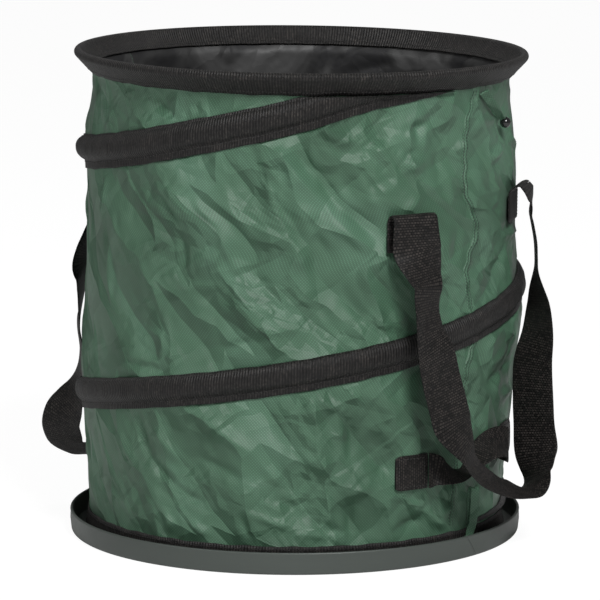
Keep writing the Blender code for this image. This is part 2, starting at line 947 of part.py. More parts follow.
def build():
    """Make every piece of the bag."""
    clear_scene()
    add_tray()
    add_floor_panel()
    add_rivets()
    add_panel("front_panel", -half_turn)
    add_panel("back_panel", 0.0)

    edge, hoop = hem_line()
    add_band("rim_binding", edge, hoop)
    add_hoop("top_hoop", top_hoop_radius, top_hoop_height)
    add_ferrule("top_ferrule", top_hoop_radius, top_hoop_height)

    foot_hoop = Vector((foot_mid_radius, bottom_hoop_height))
    add_band("bottom_binding", Vector((foot_mid_radius, binding_top)), foot_hoop)
    add_hoop("bottom_hoop", foot_mid_radius, bottom_hoop_height)
    add_ferrule("bottom_ferrule", foot_mid_radius, bottom_hoop_height)

    add_coil()
    add_casing()

    sides = (
        ("right", ("front", "back"), 0.0, carry_right_route_shares, carry_loop_bottom),
        ("left", ("back", "front"), half_turn, carry_left_route_shares, carry_left_bottom),
    )
    for side, ends, angle, route_shares, bottom in sides:
        add_carry_ends([f"carry_sewn_end_{side}_{end}" for end in ends], angle)
        add_carry_handle(f"carry_handle_{side}", angle, route_shares, bottom)
        add_dump_ends([f"dump_sewn_end_{side}_{end}" for end in ends], angle)
        add_dump_handle(f"dump_handle_{side}", angle)
        add_toggle(f"toggle_strip_{side}", f"toggle_bead_{side}", angle)
        add_closure_loop(f"closure_loop_{side}", angle)


build()
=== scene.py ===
"""Looks of a pop up leaf bag: green cloth, black tape and webbing, on a plastic tray."""

import logging
import math
from collections.abc import Sequence
from dataclasses import dataclass
from enum import Enum

import bmesh
import bpy
import numpy as np
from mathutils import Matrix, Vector


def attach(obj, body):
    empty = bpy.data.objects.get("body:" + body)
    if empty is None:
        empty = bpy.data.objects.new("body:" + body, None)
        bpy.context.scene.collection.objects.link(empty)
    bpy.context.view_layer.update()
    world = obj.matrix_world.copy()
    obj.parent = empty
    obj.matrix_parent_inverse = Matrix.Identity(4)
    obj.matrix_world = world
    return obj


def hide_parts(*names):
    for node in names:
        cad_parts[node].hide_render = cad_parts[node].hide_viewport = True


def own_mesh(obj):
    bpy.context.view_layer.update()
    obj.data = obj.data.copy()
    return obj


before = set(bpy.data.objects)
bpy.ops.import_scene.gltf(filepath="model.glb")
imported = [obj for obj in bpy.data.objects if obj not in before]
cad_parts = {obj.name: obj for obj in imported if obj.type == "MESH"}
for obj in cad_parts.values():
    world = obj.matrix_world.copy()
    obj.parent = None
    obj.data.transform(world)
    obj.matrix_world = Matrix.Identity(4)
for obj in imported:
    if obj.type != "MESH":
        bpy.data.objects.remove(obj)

Array = np.ndarray
Material = bpy.types.Material
Piece = bpy.types.Object
Socket = bpy.types.NodeSocket

LOG = logging.getLogger("leaf_bag")
PATTERN = "pattern_metres"
FULL_TURN = 2.0 * math.pi
UP = np.array([0.0, 0.0, 1.0])


class Body(Enum):
    """The frame's bodies that pieces ride on."""

    BASE = "base"
    RIM = "top_rim"


class Side(Enum):
    """The two sides of the bag that carry handles, as angles about its axis."""

    RIGHT = 0.0
    LEFT = 180.0

    @property
    def label(self) -> str:
        """The side's name as it stands in piece and body names."""
        return self.name.lower()


# Colours, nodes and meshes


def linear(colour: str) -> tuple[float, float, float, float]:
    """Linear RGBA of an sRGB hex colour.

    Args:
        colour: Six hex digits after a hash.

    Returns:
        The colour as Blender's sockets take it, with full alpha.
    """
    parts = np.array([int(colour[i : i + 2], 16) for i in (1, 3, 5)]) / 255.0
    low = parts / 12.92
    high = ((parts + 0.055) / 1.055) ** 2.4
    return (*np.where(parts <= 0.04045, low, high).tolist(), 1.0)


def add_node(
    tree: bpy.types.NodeTree, kind: str, inputs: dict | None = None, **settings: object
) -> bpy.types.Node:
    """Add a node with its settings, values and links.

    Args:
        tree: The node tree that gets the node.
        kind: Blender's name of the node's type.
        inputs: Socket name or number to a value, or to the output that it is linked to.
        settings: The node's own properties.

    Returns:
        The new node.
    """
    node = tree.nodes.new(kind)
    for name, value in settings.items():
        setattr(node, name, value)
    for name, value in (inputs or {}).items():
        if isinstance(value, Socket):
            tree.links.new(value, node.inputs[name])
        else:
            node.inputs[name].default_value = value
    return node


class Surface:
    """A new material's tree, its shader and its pattern coordinates in millimetres."""

    def __init__(self, name: str, on_pattern: bool = True) -> None:
        """Make the material, and scale its coordinates from metres to millimetres.

        Args:
            name: The material's name.
            on_pattern: Whether its patterns follow the piece's own pattern coordinates.
        """
        self.material = bpy.data.materials.new(name)
        self.material.use_nodes = True
        self.tree = self.material.node_tree
        self.shader = self.tree.nodes["Principled BSDF"]
        if on_pattern:
            source = self.add("UVMap", uv_map=PATTERN).outputs["UV"]
        else:
            source = self.add("TexCoord").outputs["Object"]
        scaled = self.add("Mapping", {"Vector": source, "Scale": (1000.0,) * 3})
        self.place = scaled.outputs["Vector"]

    def add(self, kind: str, inputs: dict | None = None, **settings: object) -> bpy.types.Node:
        """Add a shader node to the material, as add_node does."""
        return add_node(self.tree, "ShaderNode" + kind, inputs, **settings)

    def turned(self, degrees: float, stretch: tuple[float, float] = (1.0, 1.0)) -> Socket:
        """The coordinates turned by an angle, then stretched along each way.

        Args:
            degrees: Angle of the turn.
            stretch: How far the pattern is drawn out along each way.

        Returns:
            The new coordinates.
        """
        angles = (0.0, 0.0, math.radians(degrees))
        turn = self.add("Mapping", {"Vector": self.place, "Rotation": angles}).outputs["Vector"]
        scale = (1.0 / stretch[0], 1.0 / stretch[1], 1.0)
        return self.add("Mapping", {"Vector": turn, "Scale": scale}).outputs["Vector"]

    def noise(
        self, size: float, detail: float = 3.0, rough: float = 0.5,
        place: Socket | None = None, warp: float = 0.0,
    ) -> Socket:
        """Noise whose blotches are about size millimetres across, swirled by warp."""
        values = {"Scale": 1.0 / size, "Detail": detail, "Roughness": rough, "Distortion": warp}
        return self.add("TexNoise", {"Vector": place or self.place, **values}).outputs["Fac"]

    def wave(
        self, pitch: float, direction: str, place: Socket | None = None, wobble: float = 0.0
    ) -> Socket:
        """Smooth ribs with a pitch in millimetres, across one way of the pattern."""
        values = {
            "Vector": place or self.place, "Scale": FULL_TURN / 20.0 / pitch,
            "Distortion": wobble, "Detail": 1.0, "Detail Scale": 0.3,
        }
        return self.add("TexWave", values, bands_direction=direction).outputs["Fac"]

    def facets(
        self, size: float, place: Socket, metric: str = "MANHATTAN"
    ) -> tuple[Socket, Socket]:
        """Flat sided pits in cells of a size, and a random colour for each cell."""
        values = {"Vector": place, "Scale": 1.0 / size}
        made = self.add("TexVoronoi", values, voronoi_dimensions="2D", distance=metric)
        return made.outputs["Distance"], made.outputs["Color"]

    def bent(self, place: Socket, size: float, amount: float) -> Socket:
        """Coordinates pushed about by noise, by up to about half an amount in millimetres.

        Args:
            place: Coordinates.
            size: Width of the noise's blotches.
            amount: Twice the longest push.

        Returns:
            The new coordinates.
        """
        values = {"Vector": self.place, "Scale": 1.0 / size, "Detail": 2.0}
        drift = self.add("TexNoise", values).outputs["Color"]
        values = {0: drift, 1: (amount,) * 3, 2: place}
        return self.add("VectorMath", values, operation="MULTIPLY_ADD").outputs["Vector"]

    def maths(
        self, operation: str, first: object, second: object, third: object = None
    ) -> Socket:
        """One sum of two values, or of three for a multiply and add."""
        values = {0: first, 1: second} if third is None else {0: first, 1: second, 2: third}
        return self.add("Math", values, operation=operation).outputs["Value"]

    def blend(self, share: Socket, stops: Sequence[tuple[float, str]]) -> Socket:
        """Colours laid along a value.

        Args:
            share: The value, from 0 to 1.
            stops: Pairs of a place along the value and a hex colour.

        Returns:
            The colour.
        """
        ramp = self.add("ValToRGB", {"Fac": share})
        marks = ramp.color_ramp.elements
        while len(marks) < len(stops):
            marks.new(0.5)
        for mark, (place, colour) in zip(marks, stops):
            mark.position = place
            mark.color = linear(colour)
        return ramp.outputs["Color"]

    def darken(self, colour: Socket, share: Socket, depth: float) -> Socket:
        """A colour pulled towards black by a share of a depth, where the share is low.

        Args:
            colour: The colour.
            share: Where it stays, from 0 to 1.
            depth: Share of the colour that goes where share is 0.

        Returns:
            The darker colour.
        """
        lift = self.maths("MULTIPLY_ADD", share, depth, 1.0 - depth)
        values = {"Factor": 1.0, 6: colour, 7: lift}
        made = self.add("Mix", values, data_type="RGBA", blend_type="MULTIPLY")
        return made.outputs[2]

    def bump(
        self, height: Socket, depth: float, strength: float = 1.0,
        below: Socket | None = None,
    ) -> Socket:
        """Relief whose full height is depth millimetres.

        Args:
            height: The relief, from 0 to 1.
            depth: Its full height.
            strength: Share of it that shows.
            below: Relief that it is laid over.

        Returns:
            The shading normal.
        """
        values = {"Height": height, "Distance": depth / 1000.0, "Strength": strength}
        if below is not None:
            values["Normal"] = below
        made = self.add("Bump", values)
        return made.outputs["Normal"]

    def finish(self, **values: object) -> Material:
        """Set or link the shader's sockets, named with underscores for spaces.

        Args:
            values: Socket names to values or to outputs.

        Returns:
            The material.
        """
        for name, value in values.items():
            socket = self.shader.inputs[name.replace("_", " ")]
            if isinstance(value, Socket):
                self.tree.links.new(value, socket)
            else:
                socket.default_value = value
        return self.material


# Finishes


@dataclass(frozen=True)
class WovenPolyester:
    """Proofed polyester: satin threads woven on the slant, with small crisp creases."""

    # Lit, middle and shaded greens: painted light and shade over the cloth's own green.
    stops: tuple = ((0.30, "#4c7058"), (0.50, "#587f65"), (0.72, "#658d74"))
    thread_pitch: float = 2.2
    thread_depth: float = 0.20
    slant: float = 52.0
    cross_slant: float = -18.0
    facet_sizes: tuple[float, float, float] = (58.0, 31.0, 15.0)
    facet_depths: tuple[float, float, float] = (20.0, 7.5, 2.2)

    def material(self) -> Material:
        """Slanted threads over crumpled cloth. The real pitch is 0.8 mm, drawn at 2.2 to show.

        Returns:
            The material.
        """
        s = Surface("woven_polyester")
        slant = s.turned(45.0)
        threads = s.maths(
            "MULTIPLY",
            s.wave(self.thread_pitch, "X", slant),
            s.wave(self.thread_pitch, "Y", slant),
        )
        long_way = s.bent(s.turned(self.slant, (1.9, 1.0)), 60.0, 15.0)
        cross_way = s.bent(s.turned(self.cross_slant, (1.4, 1.0)), 40.0, 9.0)
        short_way = s.bent(s.turned(self.slant, (1.6, 1.0)), 26.0, 6.0)
        large, _ = s.facets(self.facet_sizes[0], long_way)
        middle, facet_shade = s.facets(self.facet_sizes[1], cross_way, "CHEBYCHEV")
        small, _ = s.facets(self.facet_sizes[2], short_way)
        calm = s.noise(95.0, 1.0, 0.5)
        busy = s.blend(calm, ((0.42, "#686868"), (0.58, "#ffffff")))
        # Painted light and shade: noise drawn out along the slant lays the lit, middle and shaded
        # greens over the cloth.
        drift = s.noise(80.0, 3.0, 0.6, s.turned(self.slant, (2.2, 1.0)))
        # Painted shade: each middle facet is darkened at random by up to a tenth, so the facets
        # read as lit and shaded.
        colour = s.darken(s.blend(drift, self.stops), facet_shade, 0.10)
        colour = s.darken(colour, threads, 0.45)
        relief = s.bump(large, self.facet_depths[0], 1.0)
        for facets, depth in ((middle, self.facet_depths[1]), (small, self.facet_depths[2])):
            relief = s.bump(s.maths("MULTIPLY", facets, busy), depth, 1.0, relief)
        relief = s.bump(threads, self.thread_depth, 0.5, relief)
        return s.finish(
            Base_Color=colour, Roughness=0.52, Normal=relief,
            Sheen_Weight=0.03, Sheen_Roughness=0.4, Specular_IOR_Level=0.42,
        )


@dataclass(frozen=True)
class ProofedLining:
    """The cloth's other face: a smooth black coating that creases shiny, like thin vinyl."""

    def material(self) -> Material:
        """A dark coat with crinkles about 40 mm long and a wet looking gloss.

        Returns:
            The material.
        """
        s = Surface("black_polyurethane_coating")
        long_creases = s.noise(46.0, 2.0, 0.45, s.turned(35.0, (1.6, 1.0)), 1.0)
        small_creases = s.noise(20.0, 1.0, 0.5, None, 0.8)
        patches, _ = s.facets(38.0, s.bent(s.turned(60.0, (1.5, 1.0)), 30.0, 22.0))
        shape = s.bump(small_creases, 1.0, 0.5, s.bump(long_creases, 5.0, 0.8))
        shape = s.bump(patches, 3.0, 0.8, shape)
        # Painted sheen: the coat is drawn lighter grey where the long creases rise.
        colour = s.blend(long_creases, ((0.40, "#242425"), (0.50, "#313131"), (0.58, "#434343")))
        return s.finish(Base_Color=colour, Roughness=0.50, Normal=shape, Specular_IOR_Level=0.32)


@dataclass(frozen=True)
class GrosgrainTape:
    """Ribbed polyester tape: warm black with a dull shine, and fine ribs straight across."""

    rib_pitch: float = 2.9
    body: str = "#2e2b29"
    deep: str = "#171514"
    painted_highlight: str = "#4b4642"

    def material(self) -> Material:
        """Ribs across the tape. The real ribs are 1.2 mm apart, drawn at 2.9 to show.

        Returns:
            The material.
        """
        s = Surface("grosgrain_tape")
        ribs = s.wave(self.rib_pitch, "X", None, 0.5)
        mottle = s.noise(14.0, 4.0, 0.65)
        specks = s.noise(3.2, 1.0, 0.5)
        # Painted highlight: the noise lays random darker patches and lighter ones, and the lighter
        # ones are painted highlights.
        colour = s.blend(mottle, ((0.25, self.deep), (0.55, self.body), (0.75, self.painted_highlight)))
        colour = s.darken(colour, s.blend(specks, ((0.40, "#000000"), (0.60, "#ffffff"))), 0.72)
        relief = s.bump(ribs, 0.6, 1.0, s.bump(mottle, 3.0, 0.6))
        # Painted shade: the colour is darkened by up to nine tenths between the ribs.
        return s.finish(
            Base_Color=s.darken(colour, ribs, 0.90), Roughness=0.55, Normal=relief,
            Sheen_Weight=0.03, Sheen_Roughness=0.5, Specular_IOR_Level=0.34,
        )


@dataclass(frozen=True)
class BeltWebbing:
    """Flat polypropylene webbing: rows of short raised floats with a faint glint."""

    float_length: float = 3.3
    row_height: float = 2.5
    gap: float = 0.55

    def material(self) -> Material:
        """Staggered floats along the strap. The real rows are 1.5 mm apart, drawn at 2.5.

        Returns:
            The material.
        """
        s = Surface("polypropylene_webbing")
        bricks = {
            "Vector": s.turned(90.0), "Scale": 1.0, "Color1": linear("#433e3b"),
            "Color2": linear("#161413"), "Mortar": linear("#020202"), "Mortar Size": self.gap,
            "Mortar Smooth": 0.5, "Brick Width": self.float_length, "Row Height": self.row_height,
        }
        weave = s.add("TexBrick", bricks, offset=0.5)
        ribs = s.maths("SUBTRACT", 1.0, weave.outputs["Fac"])
        mottle = s.noise(24.0, 3.0, 0.6)
        relief = s.bump(ribs, 0.6, 1.0, s.bump(mottle, 2.5, 0.4))
        return s.finish(
            Base_Color=s.darken(weave.outputs["Color"], mottle, 0.5),
            Roughness=0.55, Normal=relief, Sheen_Weight=0.02, Specular_IOR_Level=0.25,
        )


@dataclass(frozen=True)
class MouldedPolypropylene:
    """Injection moulded plastic: dark grey green, half matt, with faint flow marks."""

    body: str = "#414743"
    pale: str = "#494f4b"
    joint_at: float = 884.0
    joint_slope: float = 0.75
    joint_half: float = 0.6

    def material(self) -> Material:
        """A fine moulded grain, drifting tone, and the slanted line of the rim's joint.

        Returns:
            The material.
        """
        s = Surface("moulded_polypropylene")
        grain = s.noise(0.9, 2.0, 0.5)
        flow = s.noise(70.0, 3.0, 0.5, s.turned(0.0, (5.0, 1.0)))
        colour = s.blend(flow, ((0.35, self.body), (0.7, self.pale)))
        axes = s.add("SeparateXYZ", {0: s.place})
        slanted = s.maths("MULTIPLY", axes.outputs["Y"], self.joint_slope)
        run = s.maths("SUBTRACT", s.maths("ADD", axes.outputs["X"], slanted), self.joint_at)
        groove = s.maths("MINIMUM", s.maths("ABSOLUTE", run, 0.0), self.joint_half)
        edge = s.maths("DIVIDE", groove, self.joint_half)
        rough = s.maths("MULTIPLY_ADD", s.noise(14.0, 5.0, 0.7), 0.16, 0.36)
        relief = s.bump(edge, 0.6, 0.8, s.bump(grain, 0.05, 0.5))
        return s.finish(Base_Color=s.darken(colour, edge, 0.45), Roughness=rough, Normal=relief)


@dataclass(frozen=True)
class GlossyAcetal:
    """A turned or moulded acetal ball: deep black and polished."""

    def material(self) -> Material:
        """Black with tiny handling scratches in its gloss.

        Returns:
            The material.
        """
        s = Surface("black_acetal", on_pattern=False)
        rough = s.maths("MULTIPLY_ADD", s.noise(1.5, 3.0, 0.6), 0.12, 0.10)
        return s.finish(Base_Color=linear("#151516"), Roughness=rough, Coat_Weight=0.3)


@dataclass(frozen=True)
class DrawnSteel:
    """Spring steel wire or zinc plated steel: grey metal with fine lengthwise marks."""

    name: str
    colour: str
    gloss: float

    def material(self) -> Material:
        """Bright metal, dulled a little in small patches.

        Returns:
            The material.
        """
        s = Surface(self.name, on_pattern=False)
        rough = s.maths("MULTIPLY_ADD", s.noise(3.0, 4.0, 0.6), 0.25, self.gloss)
        return s.finish(Base_Color=linear(self.colour), Metallic=1.0, Roughness=rough)


@dataclass(frozen=True)
class SewingThread:
    """Twisted polyester thread: a small soft sheen along each stitch."""

    name: str
    colour: str

    def material(self) -> Material:
        """Twist marks half a millimetre apart.

        Returns:
            The material.
        """
        s = Surface(self.name, on_pattern=False)
        twist = s.wave(0.5, "Z")
        return s.finish(
            Base_Color=linear(self.colour), Roughness=0.55, Normal=s.bump(twist, 0.05, 0.5),
            Sheen_Weight=0.1,
        )


class Finishes:
    """Every material of the bag, made once."""

    def __init__(self) -> None:
        """Make the materials."""
        self.cloth = WovenPolyester().material()
        self.lining = ProofedLining().material()
        self.tape = GrosgrainTape().material()
        self.webbing = BeltWebbing().material()
        self.tray = MouldedPolypropylene().material()
        self.ball = GlossyAcetal().material()
        self.wire = DrawnSteel("spring_steel_wire", "#8a8b8e", 0.22).material()
        self.zinc = DrawnSteel("zinc_plated_steel", "#b4b6ba", 0.18).material()
        self.green_thread = SewingThread("green_polyester_thread", "#15231b").material()
        self.black_thread = SewingThread("black_polyester_thread", "#1a1817").material()


# Skins


def skin(
    name: str, rings: Array, along: Array, around: Array, materials: Sequence[Material],
    slots: Array | None = None, closed_path: bool = False, open_ring: bool = False,
) -> Piece:
    """Skin of a ring of points carried along a path.

    Corner (s, r) joins (s, r + 1), (s + 1, r + 1) and (s + 1, r). An open path is closed
    by a strip of quads at each end, between the ring's points k and last - k.

    Args:
        name: The piece's name.
        rings: Points, stations by ring by three, in metres.
        along: Pattern distance of each station, with one more where the path is closed.
        around: Pattern distance of each ring point, with one more where the ring is closed.
        materials: The piece's materials.
        slots: Material number of each span of the ring.
        closed_path: Whether the last ring joins the first.
        open_ring: Whether the ring's ends stay apart, as on a profile between two poles.

    Returns:
        The piece, closed and with its faces outwards.
    """
    stations, sides, _ = rings.shape
    s = np.arange(stations if closed_path else stations - 1)[:, None]
    r = np.arange(sides - 1 if open_ring else sides)[None, :]
    s, r = (a.ravel() for a in np.broadcast_arrays(s, r))
    s_next, r_next = (s + 1) % stations, (r + 1) % sides
    quads = np.stack(
        [s * sides + r, s * sides + r_next, s_next * sides + r_next, s_next * sides + r], 1
    )
    u = np.stack([along[s], along[s], along[s + 1], along[s + 1]], 1)
    v = np.stack([around[r], around[r + 1], around[r + 1], around[r]], 1)
    slot = np.zeros(len(quads), int) if slots is None else slots[r]
    if not closed_path and not open_ring:
        k = np.arange(sides // 2 - 1)
        strip = np.stack([k, k + 1, sides - 2 - k, sides - 1 - k], 1)
        level = np.stack([around[k], around[k + 1], around[k + 1], around[k]], 1)
        quads = np.concatenate([quads, strip[:, ::-1], strip + (stations - 1) * sides])
        u = np.concatenate([u, np.full((len(k), 4), along[0]), np.full((len(k), 4), along[-1])])
        v = np.concatenate([v, level[:, ::-1], level])
        slot = np.concatenate([slot, np.zeros(2 * len(k), int)])
    points = rings.reshape(-1, 3)
    a, b, c, d = (points[quads[:, i]] for i in range(4))
    volume = float((a * (np.cross(b, c) + np.cross(c, d))).sum())
    if volume < 0.0:
        quads, u, v = quads[:, ::-1], u[:, ::-1], v[:, ::-1]
    return solid(name, points, quads, np.stack([u, v], -1), slot, materials, open_ring)


def solid(
    name: str, points: Array, quads: Array, pattern: Array, slots: Array,
    materials: Sequence[Material], poles: bool = False,
) -> Piece:
    """Put points, quads, pattern coordinates and material numbers into a new object.

    Args:
        name: The piece's name.
        points: Points, in metres.
        quads: Four point numbers for each face.
        pattern: Pattern coordinates of each face's corners.
        slots: Material number of each face.
        materials: The piece's materials.
        poles: Whether points that lie together are joined.

    Returns:
        The piece.
    """
    mesh = bpy.data.meshes.new(name)
    mesh.from_pydata(points.tolist(), [], quads.tolist())
    layer = mesh.uv_layers.new(name=PATTERN)
    layer.data.foreach_set("uv", pattern.reshape(-1).astype(np.float32))
    mesh.polygons.foreach_set("material_index", slots.astype(np.int32))
    mesh.polygons.foreach_set("use_smooth", np.ones(len(quads), bool))
    for material in materials:
        mesh.materials.append(material)
    if poles:
        joined = bmesh.new()
        joined.from_mesh(mesh)
        bmesh.ops.remove_doubles(joined, verts=joined.verts, dist=1e-6)
        joined.to_mesh(mesh)
        joined.free()
    mesh.update()
    piece = bpy.data.objects.new(name, mesh)
    bpy.context.scene.collection.objects.link(piece)
    return piece


def polar(angle: Array, radius: Array, height: Array) -> Array:
    """Points from angle about the axis, distance from it and height."""
    angle, radius, height = np.broadcast_arrays(angle, radius, height)
    return np.stack([radius * np.cos(angle), radius * np.sin(angle), height], -1)


def unit(vectors: Array) -> Array:
    """Vectors of length one."""
    return vectors / np.maximum(np.linalg.norm(vectors, axis=-1, keepdims=True), 1e-12)


def smoothstep(value: Array, low: float, high: float) -> Array:
    """Share that eases from 0 at low to 1 at high, as 3t squared less 2t cubed."""
    share = np.clip((value - low) / (high - low), 0.0, 1.0)
    return share * share * (3.0 - 2.0 * share)


def quadratic(start: Array, control: Array, end: Array, t: Array) -> Array:
    """Curve (1 - t) squared start + 2t (1 - t) control + t squared end, at each share t."""
    t = t[:, None]
    return (1.0 - t) ** 2 * start + 2.0 * t * (1.0 - t) * control + t**2 * end


def run_length(points: Array) -> Array:
    """Distance along a run of points, from its first."""
    steps = np.linalg.norm(np.diff(points, axis=0), axis=1)
    return np.concatenate([[0.0], np.cumsum(steps)])


def sample(at: Array, along: Array, rows: Array) -> Array:
    """Rows read off at some distances along a run, straight between its points."""
    return np.stack([np.interp(at, along, column) for column in rows.T], 1)


def smooth_rows(rows: Sequence[Sequence[float]], steps: int) -> Array:
    """Rows on a smooth curve through given rows: the Catmull-Rom cubic of each four.

    Args:
        rows: The given rows.
        steps: Rows made in each span.

    Returns:
        The rows of the curve.
    """
    table = np.asarray(rows, float)
    padded = np.concatenate([table[:1], table, table[-1:]])
    t = (np.arange(steps) / steps)[None, :, None]
    a, b, c, d = (padded[i : len(padded) - 3 + i][:, None, :] for i in range(4))
    curve = 0.5 * (
        2.0 * b + (c - a) * t + (2.0 * a - 5.0 * b + 4.0 * c - d) * t**2
        + (3.0 * b - a - 3.0 * c + d) * t**3
    )
    return np.concatenate([curve.reshape(-1, table.shape[1]), table[-1:]])


# The bag's stance and the shapes that its pieces share


@dataclass(frozen=True)
class Stance:
    """How the standing bag leans and its rim tips, above the binding at its foot."""

    lean: float = 0.0069
    lean_angle: float = math.radians(35.5)
    foot: float = 0.0265
    rim: float = 0.4879
    tip: float = 0.0026
    tip_from: float = 0.40
    tip_full: float = 0.47

    def settle(self, points: Array) -> Array:
        """Move points outwards by the lean's share towards their angle, and tip the rim.

        The radius grows by lean times height share times cos(angle - lean angle), and the
        height falls by tip times cos(angle - lean angle), eased in below the rim.

        Args:
            points: Points of the upright bag.

        Returns:
            Points of the standing one.
        """
        x, y, z = points[..., 0], points[..., 1], points[..., 2]
        angle = np.arctan2(y, x)
        radius = np.hypot(x, y)
        off = angle - self.lean_angle
        share = np.clip((z - self.foot) / (self.rim - self.foot), 0.0, 1.05)
        grown = radius + self.lean * share * np.cos(off)
        level = z - self.tip * np.cos(off) * smoothstep(z, self.tip_from, self.tip_full)
        return np.stack([grown * np.cos(angle), grown * np.sin(angle), level], -1)


@dataclass(frozen=True)
class Coil:
    """The spring wire's free turns, clockwise from above, easing towards the foot.

    The cloth pulls the wire off its even fall: rise gives pairs of degrees of travel and
    how many millimetres higher it lies there.
    """

    start: float = 0.48194
    fall: float = 0.46609
    turns: float = 2.0
    ease: float = 0.197
    start_angle: float = math.radians(-4.5)
    rise: tuple = (
        (0, 8), (8, 8), (18, 10.2), (27, 12), (34, 11.5), (44, 7), (55, 4.2), (70, 2.6),
        (83, 2), (95, 1.2), (108, 2.6), (121, 5), (131, 8.5), (142, 12), (165, 13), (210, 10),
        (270, 5), (335, 1), (360, 0), (404, 0.5), (480, 1.5), (520, 1.5), (600, 0), (640, 0),
        (660, -3), (676, -9), (688, -12.5), (694, -12.8), (700, -9.6), (706, -7), (710, -6.1),
        (716, -6), (800, 0),
    )

    def height(self, travel: Array) -> Array:
        """Height of the wire after an angle of travel.

        Args:
            travel: Angle from the wire's start, in radians.

        Returns:
            Heights.
        """
        share = travel / (self.turns * FULL_TURN)
        even = self.start - self.fall * ((1.0 + self.ease) * share - self.ease * share**2)
        table = np.array(self.rise, float)
        return even + np.interp(np.degrees(travel), table[:, 0], table[:, 1]) / 1000.0

    def distance(self, angle: Array, height: Array) -> Array:
        """Upright distance from points on the wall to the nearest turn of the wire.

        Args:
            angle: The points' angles.
            height: Their heights.

        Returns:
            Distances.
        """
        first = np.mod(self.start_angle - angle, FULL_TURN)
        away = [np.abs(height - self.height(first + FULL_TURN * k)) for k in range(3)]
        return np.minimum.reduce(away)


@dataclass(frozen=True)
class HemProfile:
    """Section of the tape at the top: two leaves that close on the cloth, round a hoop."""

    hoop_radius: float = 0.2249
    hoop_height: float = 0.4879
    band: float = 0.0043
    tape: float = 0.0010
    outer_edge: tuple[float, float] = (0.2128, 0.4690)
    inner_edge: tuple[float, float] = (0.2105, 0.4740)
    arc_ends: tuple[float, float] = (-42.0, 156.0)
    leaf_steps: int = 14
    arc_steps: int = 20
    pull: float = 0.0085

    def leaf(self, edge: Array, join: Array, way: Array) -> Array:
        """Quadratic curve from a leaf's edge up to its join, tangent to the arc there."""
        t = np.linspace(0.0, 1.0, self.leaf_steps, endpoint=False)
        return quadratic(edge, join - way * self.pull, join, t)

    def sides(self, inset: float) -> tuple[Array, Array, Array]:
        """Outer leaf, arc and inner leaf of the section.

        Args:
            inset: Distance of each from the tape's outside.

        Returns:
            Rows of (radius, height) for the three.
        """
        turn = np.radians(np.linspace(*self.arc_ends, self.arc_steps))
        ways = np.stack([np.cos(turn), np.sin(turn)], 1)
        arc = np.array([self.hoop_radius, self.hoop_height]) + ways * (self.band - inset)
        first = np.array([-math.sin(turn[0]), math.cos(turn[0])])
        last = np.array([math.sin(turn[-1]), -math.cos(turn[-1])])
        shift = np.array([inset, 0.0])
        outer = self.leaf(np.array(self.outer_edge) - shift, arc[0], first)
        inner = self.leaf(np.array(self.inner_edge) + shift, arc[-1], last)
        return outer, arc, inner

    def outline(self) -> Array:
        """The closed section, outside first.

        Returns:
            Rows of (radius, height).
        """
        outer, arc, inner = self.sides(0.0)
        outside = np.concatenate([outer, arc, inner[::-1]])
        outer, arc, inner = self.sides(self.tape)
        inside = np.concatenate([outer, arc, inner[::-1]])
        return np.concatenate([outside, inside[::-1]])

    def cloth_radius(self, height: Array) -> Array:
        """Radius midway between the leaves, where the cloth lies.

        Args:
            height: Heights.

        Returns:
            Radii.
        """
        outer, _, inner = self.sides(self.tape)
        out = np.interp(height, outer[:, 1], outer[:, 0])
        into = np.interp(height, inner[:, 1], inner[:, 0])
        return (out + into) / 2.0 + 0.0005


